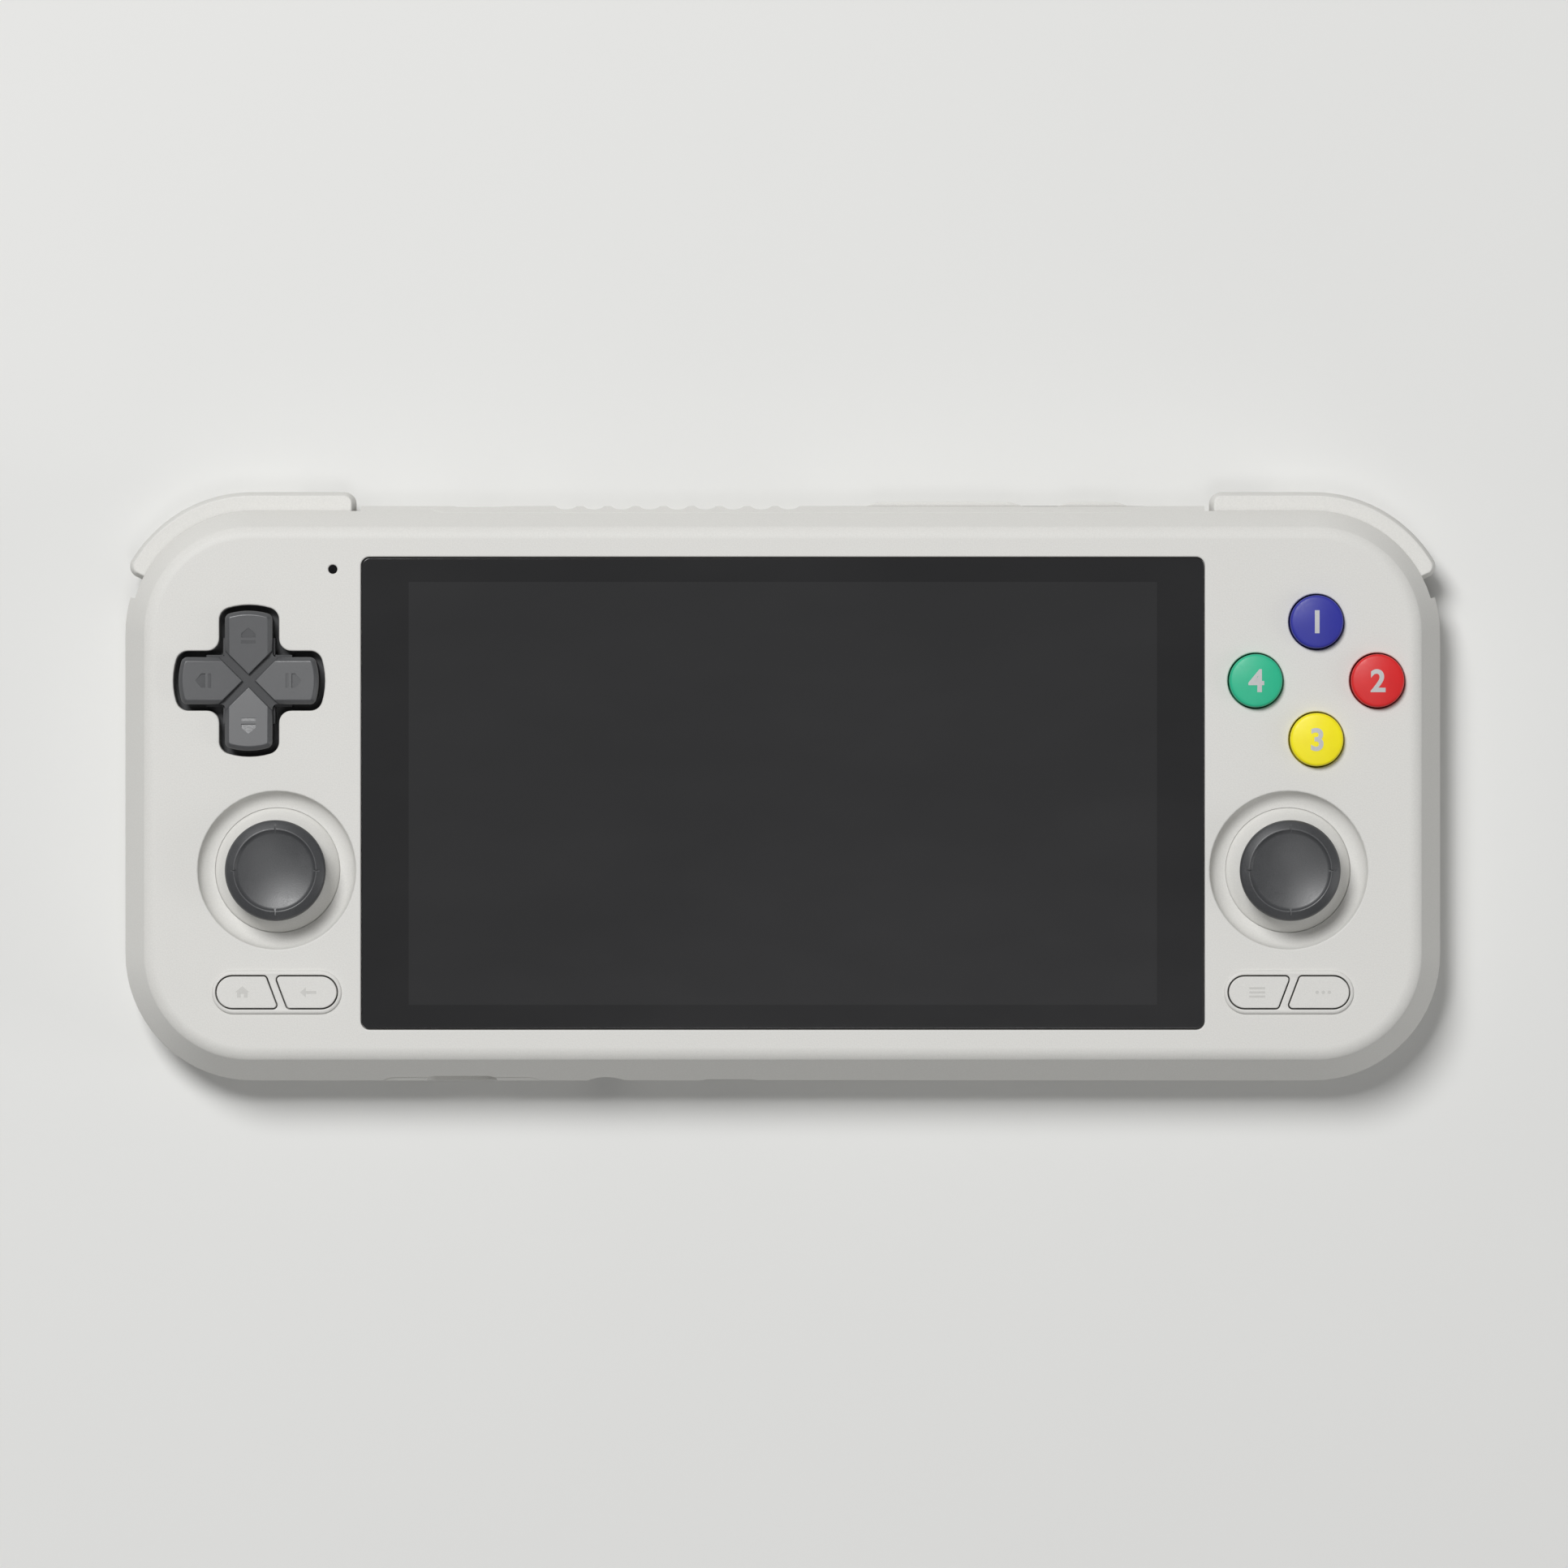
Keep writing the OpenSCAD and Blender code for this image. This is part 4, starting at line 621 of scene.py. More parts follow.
    def rounded(self, pick: Pick, width: float, segments: int = 3) -> "Shape":
        """Bevels the edges that a test picks.

        Args:
            pick: Test of an edge.
            width: Width of the bevel.
            segments: Faces across it.

        Returns:
            This shape.
        """
        edges = [edge for edge in self.bm.edges if len(edge.link_faces) == 2 and pick(edge)]
        if edges:
            bmesh.ops.bevel(
                self.bm, geom=edges, offset=width, affect="EDGES", segments=segments, profile=0.5,
                material=-1, clamp_overlap=False,
            )
        return self

    def blunted(self, verts: list[bmesh.types.BMVert], radius: float) -> "Shape":
        """Rounds corners of a flat outline as far as a radius along their sides."""
        bmesh.ops.bevel(
            self.bm, geom=verts, offset=radius, affect="VERTICES", segments=6, profile=0.5, material=-1,
            clamp_overlap=True,
        )
        return self

    def flattened(self, height: float) -> "Shape":
        """Joins the triangles of a level face, so that it shades as one plane."""
        flat = [
            edge for edge in self.bm.edges
            if level(edge, height, self.MERGE / 2) and len(edge.link_faces) == 2
            and all(face.normal.z > self.UPRIGHT for face in edge.link_faces)
        ]
        bmesh.ops.dissolve_edges(self.bm, edges=flat, use_verts=False)
        return self

    def diced(self, step: float) -> "Shape":
        """Cuts the mesh along a grid in X and Y, so that it can follow a curve."""
        for axis in (Vector((1, 0, 0)), Vector((0, 1, 0))):
            reach = max(abs(vert.co.dot(axis)) for vert in self.bm.verts)
            count = int(reach / step)
            for mark in range(-count, count + 1):
                bmesh.ops.bisect_plane(self.bm, geom=self.geom, plane_co=axis * mark * step, plane_no=axis)
        return self

    def joined(self, other: "Shape") -> "Shape":
        """Adds another shape's mesh as a loose part."""
        spare = bpy.data.meshes.new("spare")
        other.bm.to_mesh(spare)
        other.bm.free()
        self.bm.from_mesh(spare)
        bpy.data.meshes.remove(spare)
        return self

    def cut(self, *tools: "Shape") -> "Shape":
        """Takes closed shapes that don't touch one another away from this one."""
        return self.combined("DIFFERENCE", *tools)

    def fused(self, *tools: "Shape") -> "Shape":
        """Makes one skin of this shape and closed shapes that don't touch one another."""
        return self.combined("UNION", *tools)

    def combined(self, operation: str, *tools: "Shape") -> "Shape":
        """Combines this shape with others by an exact Boolean.

        Args:
            operation: The Boolean's operation.
            *tools: The other shapes.

        Returns:
            This shape.
        """
        merged = Shape()
        for tool in tools:
            merged.joined(tool)
        blank, other = (placed(name, bpy.data.meshes.new(name)) for name in ("blank", "tool"))
        self.bm.to_mesh(blank.data)
        merged.bm.to_mesh(other.data)
        merged.bm.free()
        modifier = blank.modifiers.new(operation, "BOOLEAN")
        modifier.operation, modifier.solver, modifier.object = operation, "EXACT", other
        result = baked(blank)
        self.bm.clear()
        self.bm.from_mesh(result)
        for mesh in (blank.data, other.data, result):
            bpy.data.meshes.remove(mesh)
        return self

    def piece(
        self, name: str, finish: Finish, body: str = "", nodes: Iterable[str] = (), smooth: float = 35.0
    ) -> bpy.types.Object:
        """Makes the mesh an object of the scene.

        Args:
            name: Name of the piece.
            finish: Its finish.
            body: CAD body that it rides on, or none for a piece that rides on no body.
            nodes: CAD nodes that it stands for.
            smooth: Angle in degrees past which an edge stays sharp.

        Returns:
            The object.
        """
        bmesh.ops.scale(self.bm, vec=Vector((MM,) * 3), verts=self.bm.verts)
        mesh = bpy.data.meshes.new(name)
        self.bm.to_mesh(mesh)
        self.bm.free()
        mesh.shade_smooth()
        mesh.set_sharp_from_angle(angle=math.radians(smooth))
        mesh.materials.append(finish.material())
        made = placed(name, mesh)
        even = made.modifiers.new("even_shading", "WEIGHTED_NORMAL")
        even.keep_sharp = True
        if body:
            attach(made, body)
        if nodes:
            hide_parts(*nodes)
        LOG.info("piece %s on %s, %d faces", name, body or "two bodies", len(mesh.polygons))
        return made


def convex(edge: Edge, degrees: float = 40.0) -> bool:
    """True for an outward edge that is sharper than an angle."""
    return edge.calc_face_angle_signed(0.0) > math.radians(degrees)


def level(edge: Edge, height: float, room: float = 0.02) -> bool:
    """True for an edge that lies at a height."""
    return all(abs(vert.co.z - height) < room for vert in edge.verts)


def above(edge: Edge, height: float) -> bool:
    """True for an edge whose ends are both above a height."""
    return all(vert.co.z > height for vert in edge.verts)


def outlying(edge: Edge, inset: float = 0.1) -> bool:
    """True for an edge within an inset of the console's outline."""
    for vert in edge.verts:
        over = [abs(vert.co[i]) - HALF_BODY[i] + CORNER_R for i in (0, 1)]
        reach = math.hypot(*over) if min(over) > 0 else max(over)
        if reach < CORNER_R - inset:
            return False
    return True


def seam(edge: Edge) -> bool:
    """True for an outer edge where the two shells meet."""
    return level(edge, PART_Z) and outlying(edge) and convex(edge)


def rim_at(height: float) -> Pick:
    """A test for outward edges at a height."""
    return lambda edge: level(edge, height) and convex(edge)


def past(side: float, degrees: float = 40.0) -> Pick:
    """A test for outward edges that lie further out along Y than a place."""
    return lambda edge: convex(edge, degrees) and all(vert.co.y / side > 1 for vert in edge.verts)


@dataclass
class Casing:
    """Shells, top strip, card cover, light pipe and screws."""

    rim: float = 0.22
    pod_top: float = 15.4
    pod_rim: float = 0.09
    seam: float = 0.14
    back_rim: float = 0.25
    trim_rim: float = 0.12
    strip_y: float = 38.8
    cover_y: float = -39.3

    def build(self) -> None:
        """Makes all of the casing."""
        self.front()
        self.rear()
        self.trim()
        dress_nodes({"case_screws": STEEL, "light_pipe": LENS})

    def front(self) -> None:
        """Front shell with soft rims round its openings."""
        shape = Shape.of_node("front_shell", whole=False)
        shape.rounded(rim_at(FACE_Z), self.rim).rounded(rim_at(self.pod_top), self.pod_rim, 2)
        shape.rounded(seam, self.seam, 2).flattened(FACE_Z)
        shape.piece("front_shell_moulding", SHELL, "root", ["front_shell"])

    def rear(self) -> None:
        """Rear shell with soft rims round its slots and screw holes."""
        shape = Shape.of_node("rear_shell", whole=False)
        shape.rounded(rim_at(0), self.back_rim).rounded(seam, self.seam, 2)
        shape.piece("rear_shell_moulding", SHELL, "root", ["rear_shell"])

    def trim(self) -> None:
        """Top strip and card cover, soft along their outer edges."""
        places = {"top_strip": (self.strip_y, "root"), "card_cover": (self.cover_y, "card_cover")}
        for node, (side, body) in places.items():
            shape = Shape.of_node(node).rounded(past(side), self.trim_rim, 2)
            shape.piece(f"{node}_moulding", SHELL, body, [node])


@dataclass
class Screen:
    """Glass, panel and what carries them."""

    edge: float = 0.18

    def build(self) -> None:
        """Glass with a ground edge, and finishes on the parts behind it."""
        shape = Shape.of_node("screen_glass")
        top = max(vert.co.z for vert in shape.bm.verts)
        shape.rounded(rim_at(top), self.edge)
        shape.piece("front_glass", GLASS, "root", ["screen_glass"])
        dress_nodes({"screen_gasket": DARK, "display_panel": PANEL, "mid_plate": ALUMINIUM})


@dataclass
class DirectionPad:
    """Rocking pad: a cross with four raised islands, each with an arrow and a bar."""

    at: Point = (-74.2, 15.65)
    foot_z: float = 14.0
    floor_z: float = 15.62
    top_z: float = 16.8
    tip_r: float = 9.72
    half_arm: float = 3.28
    groove: float = 1.2
    tip_round: float = 0.9
    inner_round: float = 0.7
    hair: float = 0.03
    root: float = 0.3
    chamfer: float = 0.55
    crisp: float = 0.14
    crisp_turn: float = 25.0
    slope: float = 0.07
    mark_slope: float = 0.12
    collar: tuple[float, float, float] = (3.6, 5.95, 14.7)
    mark_depth: float = 0.04
    arrow: tuple[Point, ...] = ((6.0, -1.0), (6.53, -1.0), (7.38, 0.0), (6.53, 1.0), (6.0, 1.0))
    bar: tuple[Point, ...] = ((5.17, -1.0), (5.6, -1.0), (5.6, 1.0), (5.17, 1.0))
    sheet_r: Point = (2.5, 10.95)
    dome_at: float = 7.17
    dome_size: Point = (2.4, 10.99)
    dome_keep: float = 0.45

    def tip(self, inset: float = 0.0) -> list[Point]:
        """End of the arm along +X, with its two round corners, drawn in by an inset."""
        side = self.half_arm - inset - self.tip_round
        reach = self.tip_r - inset
        at_x = math.sqrt((reach - self.tip_round) ** 2 - side ** 2)
        turn = math.degrees(math.atan2(side, at_x))
        low = arc((at_x, -side), self.tip_round, -90, -turn)
        high = arc((at_x, side), self.tip_round, turn, 90)
        return [*low, *arc((0, 0), reach, -turn, turn, 10)[1:-1], *high]

    def cross(self) -> Shape:
        """Body of the cross up to the floor of its grooves, a hair inside the islands' walls."""
        outline: list[Point] = []
        corner = self.half_arm - self.hair
        for turn in range(4):
            quarter = Matrix.Rotation(turn * math.pi / 2, 2)
            outline += [tuple(quarter @ Vector(p)) for p in [*self.tip(self.hair), (corner, corner)]]
        shape = Shape()
        corners = [shape.bm.verts.new((x, y, self.foot_z)) for x, y in outline]
        shape.bm.faces.new(corners)
        step = len(outline) // 4
        shape.blunted([corners[step * turn + step - 1] for turn in range(4)], self.inner_round)
        return shape.raised(self.floor_z - self.foot_z)

    def island(self, turn: float) -> Shape:
        """One raised island.

        Args:
            turn: Turn of its arm in degrees.

        Returns:
            The island with its sunk marks.
        """
        inner = self.groove / math.sqrt(2)
        outline = [
            (inner, 0.0), (inner + self.half_arm, -self.half_arm), *self.tip(),
            (inner + self.half_arm, self.half_arm),
        ]
        shape = Shape()
        corners = [shape.bm.verts.new((x, y, self.floor_z - self.root)) for x, y in outline]
        shape.bm.faces.new(corners)
        shape.raised(self.top_z - self.floor_z + self.root)

        def by_groove(edge: Edge) -> bool:
            """True for an edge along a groove."""
            return all(abs(abs(v.co.y) - (v.co.x - inner)) < CLOSE for v in edge.verts)

        shape.rounded(lambda e: level(e, self.top_z) and convex(e) and not by_groove(e), self.chamfer, 1)
        shape.rounded(lambda e: above(e, self.floor_z) and convex(e, self.crisp_turn), self.crisp)
        shape.cut(*(self.pocket(mark) for mark in (self.arrow, self.bar)))
        return shape.sloped(self.slope, self.tip_r).turned(turn)

    def pocket(self, mark: Sequence[Point]) -> Shape:
        """Tool for a sunk mark whose floor falls towards the middle of the pad."""
        reach = max(x for x, _ in mark)
        return Shape.plate(mark, self.top_z - self.mark_depth, self.top_z + 1).sloped(self.mark_slope, reach)

    def build(self) -> None:
        """Foot from the CAD, then the cross, its collar and the islands."""
        foot = Shape.of_node("direction_pad")
        cut = bmesh.ops.bisect_plane(
            foot.bm, geom=foot.geom, plane_co=(0, 0, self.foot_z), plane_no=(0, 0, 1), clear_outer=True
        )
        rim = [item for item in cut["geom_cut"] if isinstance(item, Edge)]
        bmesh.ops.contextual_create(foot.bm, geom=rim)
        foot.closed()
        top = self.cross()
        half, reach, high = self.collar
        for long, wide in ((reach, half), (half, reach)):
            top.joined(Shape.plate(oblong(long, wide), self.foot_z, high))
        foot.joined(top.moved((*self.at, 0)))
        # Painted shade: the foot, cross and collar take the darker copy of the pad's plastic, standing in for
        # the shade of the grooves and gap.
        foot.piece("direction_pad_cross", CONTROL_PAINTED_SHADE, "pad", ["direction_pad"])
        islands = Shape()
        for turn in QUARTERS:
            islands.joined(self.island(turn))
        islands.moved((*self.at, 0)).piece("direction_pad_islands", CONTROL, "pad")
        dress_nodes({"pad_pivot_bead": STEEL, "pad_pivot_seat": DARK})
        self.membrane()

    def membrane(self) -> None:
        """Rubber sheet with a dome under each arm."""
        low, high = SHEET_Z
        hole, wide = self.sheet_r
        section = [(hole, low), (wide, low), (wide, high), (hole, high), (hole, low)]
        Shape.lathe(section, self.at).piece("pad_membrane_sheet", SILICONE, "root", ["pad_membrane"])
        for turn, arm in zip(QUARTERS, ("right", "up", "left", "down")):
            swing = math.radians(turn)
            at = (self.at[0] + self.dome_at * math.cos(swing), self.at[1] + self.dome_at * math.sin(swing))
            dome(f"pad_dome_{arm}", at, self.dome_size)


@dataclass
class FaceKeys:
    """Four round keys with a number on each."""

    centre: Point = (74.2, 15.65)
    offsets: Point = (8.46, 8.18)
    radius: float = 3.7
    flange: float = 0.9
    flange_z: Point = (11.9, 12.9)
    top_z: float = 16.65
    bulge: float = 0.3
    bulge_shares: tuple[float, ...] = (0.93, 0.85, 0.75, 0.6, 0.45, 0.3, 0.15)
    edge: float = 0.45
    edge_turn: float = 78.0
    digit_h: float = 3.2
    digit_step: float = 0.3
    digit_sink: float = 0.025
    round_r: float = 4.5
    dome_size: Point = (2.96, 11.84)
    dome_keep: float = 0.36
    tints: dict[str, tuple[int, Slot, Colour]] = field(default_factory=lambda: {
        "top": (90, Slot.BLUE, srgb(44, 48, 156)),
        "right": (0, Slot.RED, srgb(218, 32, 34)),
        "bottom": (270, Slot.YELLOW, srgb(255, 236, 12)),
        "left": (180, Slot.GREEN, srgb(40, 186, 142)),
    })

    def place(self, turn: int) -> Point:
        """Centre of the key at a turn from +X."""
        swing = math.radians(turn)
        return (
            self.centre[0] + self.offsets[0] * math.cos(swing),
            self.centre[1] + self.offsets[1] * math.sin(swing),
        )

    def profile(self) -> list[Point]:
        """Section of a key from its underside to its domed top."""
        low, high = self.flange_z
        wide = self.radius + self.flange
        inner = self.radius - self.edge
        shoulder = self.top_z - self.bulge
        bend = arc((inner, shoulder - self.edge), self.edge, 0, self.edge_turn, 7)
        crown = [(inner * share, self.top_z - self.bulge * share * share) for share in self.bulge_shares]
        return [(0, low), (wide, low), (wide, high), (self.radius, high), *bend, *crown, (0, self.top_z)]

    def digit(self, sign: str, at: Point) -> Shape:
        """A printed number that lies on the dome.

        Args:
            sign: The number.
            at: Centre of the key.

        Returns:
            The thin print.
        """
        shape = glyph(sign, self.digit_h).diced(self.digit_step)
        inner = self.radius - self.edge
        for vert in shape.bm.verts:
            vert.co.z += self.top_z - self.digit_sink - self.bulge * (vert.co.xy.length / inner) ** 2
        return shape.moved((*at, 0))

    def build(self) -> None:
        """Makes the keys and their numbers, clockwise from the top."""
        for number, (name, (turn, slot, colour)) in enumerate(self.tints.items(), 1):
            at = self.place(turn)
            finish = SatinKey(f"{slot.value}_plastic", slot, colour)
            body = f"face_{name}"
            Shape.lathe(self.profile(), at).piece(f"face_key_{name}_dome", finish, body, [f"face_key_{name}"])
            self.digit(str(number), at).piece(f"face_key_{name}_number", KEY_INK, body)
            dome(f"face_dome_{name}", at, self.dome_size)
        self.membrane()

    def membrane(self) -> None:
        """Rubber sheet that links the rounds under the keys."""
        long, wide = self.offsets
        half = self.radius / 2
        sheet = Shape.plate(oblong(long, half), *SHEET_Z)
        sheet.fused(Shape.plate(oblong(half, wide), *SHEET_Z))
        sheet.moved((*self.centre, 0))
        rounds = (arc(self.place(turn), self.round_r, 0, 352.5, 47) for turn in QUARTERS)
        sheet.fused(*(Shape.plate(outline, *SHEET_Z) for outline in rounds))
        sheet.piece("face_membrane_sheet", SILICONE, "root", ["face_membrane"])


def dome(name: str, at: Point, size: Point) -> None:
    """A rubber dome under a key.

    Args:
        name: Name of the piece.
        at: Its place.
        size: Radius at the foot, and height of the crown.
    """
    foot, top = size
    low = SHEET_Z[1]
    rise = top - low
    section = [(foot * across, low + rise * up) for across, up in DOME_SECTION]
    made = Shape.lathe(section, at, steps=48).piece(name, SILICONE, "root")
    at[0] * MM
    at[1] * MM
    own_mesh(made)


def glyph(sign: str, height: float, thick: float = 0.045, weight: float = 0.025) -> Shape:
    """A sign of the plain built-in font as a thin plate about the origin.

    Args:
        sign: The sign.
        height: Height of a capital.
        thick: Thickness of the plate.
        weight: How far its strokes are fattened, as a share of the font's size.

    Returns:
        The plate, standing on height 0.
    """
    curve = bpy.data.curves.new("sign", "FONT")
    curve.body, curve.size, curve.offset = sign, 1.0, weight
    holder = placed("sign", curve)
    flat = baked(holder)
    bpy.data.objects.remove(holder)
    bpy.data.curves.remove(curve)
    shape = Shape()
    shape.bm.from_mesh(flat)
    bpy.data.meshes.remove(flat)
    bmesh.ops.remove_doubles(shape.bm, verts=shape.bm.verts, dist=0.0001)
    low = [min(v.co[i] for v in shape.bm.verts) for i in (0, 1)]
    high = [max(v.co[i] for v in shape.bm.verts) for i in (0, 1)]
    shape.moved((-(low[0] + high[0]) / 2, -(low[1] + high[1]) / 2, 0))
    bmesh.ops.scale(shape.bm, vec=Vector((height / (high[1] - low[1]),) * 3), verts=shape.bm.verts)
    return shape.raised(thick)


@dataclass
class MenuKeys:
    """Four flat keys in two pods, each with a small printed sign."""

    pod_at: Point = (70.36, -27.65)
    key_at: Point = (4.75, 4.43)
    top_z: float = 15.55
    edge: float = 0.14
    print_z: Point = (15.53, 15.575)
    roof: tuple[Point, ...] = ((-1.0, 0.02), (1.0, 0.02), (0.0, 0.86))
    walls: tuple[Point, ...] = (
        (-0.74, -0.74), (-0.22, -0.74), (-0.22, -0.2), (0.22, -0.2),
        (0.22, -0.74), (0.74, -0.74), (0.74, 0.0), (-0.74, 0.0),
    )
    arrow: tuple[Point, ...] = (
        (-1.15, 0.0), (-0.35, -0.72), (-0.35, -0.2), (1.1, -0.2), (1.1, 0.2), (-0.35, 0.2), (-0.35, 0.72),
    )
    bar: Point = (1.1, 0.14)
    bar_step: float = 0.58
    dot_r: float = 0.25
    dot_step: float = 0.85
    sheet: Point = (16.7, 4.4)
    dome_at: float = 4.51
    dome_size: Point = (1.584, 11.84)
    dome_keep: float = 0.72

    def signs(self) -> dict[str, tuple[float, list[Sequence[Point]]]]:
        """Place along X and outlines of each key's sign."""
        bars = [oblong(*self.bar, (0.0, y)) for y in (-self.bar_step, 0.0, self.bar_step)]
        dots = [arc((x, 0), self.dot_r, 0, 345, 23) for x in (-self.dot_step, 0.0, self.dot_step)]
        x, (outer, inner) = self.pod_at[0], self.key_at
        return {
            "home": (-x - outer, [self.roof, self.walls]), "back": (-x + inner, [self.arrow]),
            "select": (x - inner, bars), "start": (x + outer, dots),
        }

    def build(self) -> None:
        """Makes the keys and their signs."""
        for name, (x, outlines) in self.signs().items():
            shape = Shape.of_node(f"{name}_key")
            shape.rounded(rim_at(self.top_z), self.edge)
            shape.piece(f"{name}_key_cap", SHELL, name, [f"{name}_key"])
            sign = Shape()
            for outline in outlines:
                sign.joined(Shape.plate(outline, *self.print_z))
            sign.moved((x, self.pod_at[1], 0)).piece(f"{name}_key_sign", MENU_INK, name)
        self.membranes()

    def membranes(self) -> None:
        """Rubber strip in each pod, with a dome under each key."""
        length, width = self.sheet
        end = (length - width) / 2
        outline = [*arc((end, 0), width / 2, -90, 90, 16), *arc((-end, 0), width / 2, 90, 270, 16)]
        strips = Shape()
        x, y = self.pod_at
        for hand in Hand:
            strips.joined(Shape.plate(outline, *SHEET_Z).moved((hand.value * x, y, 0)))
        strips.piece("menu_membrane_strips", SILICONE, "root", ["menu_membranes"])
        outer, inner = x + self.dome_at, x - self.dome_at
        for name, place in (("home", -outer), ("back", -inner), ("select", inner), ("start", outer)):
            dome(f"{name}_dome", (place, y), self.dome_size)


@dataclass
class ThumbStick:
    """One stick: rubber cap, domed skirt and the module under it."""

    hand: Hand
    at_x: float = 70.36
    at_y: float = -10.7
    cap_r: float = 7.0
    cap_z: Point = (17.31, 19.3)
    ridge_r: float = 5.72
    crest: float = 0.24
    crest_turn: Point = (50.0, 150.0)
    lip: float = 0.3
    dish: float = 0.95
    dish_shares: tuple[float, ...] = (1, 0.97, 0.92, 0.85, 0.75, 0.62, 0.48, 0.34, 0.2, 0.1, 0)
    brim: float = 0.45
    shoulder: float = 0.8
    shoulder_turn: float = 52.0
    drop: float = 0.22
    notch: tuple[float, float, float] = (0.95, 0.24, 0.28)

    @property
    def at(self) -> Point:
        """Place of the stick's axis."""
        return (self.hand.value * self.at_x, self.at_y)

    def profile(self) -> list[Point]:
        """Section of the cap from its underside, over its shoulder and ridge, to the middle of its dish."""
        low, high = self.cap_z
        brim = arc((self.cap_r - self.brim, low + self.brim), self.brim, -90, 0, 4)
        side = (self.cap_r - self.shoulder, high - self.drop - self.shoulder)
        shoulder = arc(side, self.shoulder, 0, self.shoulder_turn, 7)
        crest = arc((self.ridge_r, high - self.crest), self.crest, *self.crest_turn, 6)
        rim = self.ridge_r - 2 * self.crest
        fall = self.dish - self.lip
        bowl = [(rim * t, high - self.lip - fall * (1 - t * t)) for t in self.dish_shares]
        return [(0, low), *brim, *shoulder, *crest, *bowl]

    def build(self) -> None:
        """Makes the cap and skirt, and finishes the module."""
        word = self.hand.word
        body = f"{word}_stick"
        cap = Shape.lathe(self.profile(), (0, 0), 128)
        length, width, depth = self.notch
        high = self.cap_z[1]
        tick = oblong(length / 2, width / 2, (self.ridge_r, 0.0))
        cap.cut(*(Shape.plate(tick, high - depth, high + 1).turned(turn) for turn in QUARTERS))
        cap.moved((*self.at, 0)).piece(f"{word}_stick_cap_rubber", STICK, body, [f"{word}_stick_cap"])
        Shape.of_node(f"{word}_stick_skirt").piece(f"{word}_stick_dome", SHELL, body, [f"{word}_stick_skirt"])
        dress_nodes({
            f"{word}_stick_housing": STEEL, f"{word}_stick_yoke": DARK, f"{word}_stick_rocker": DARK,
            f"{word}_stick_post": STEEL,
        })


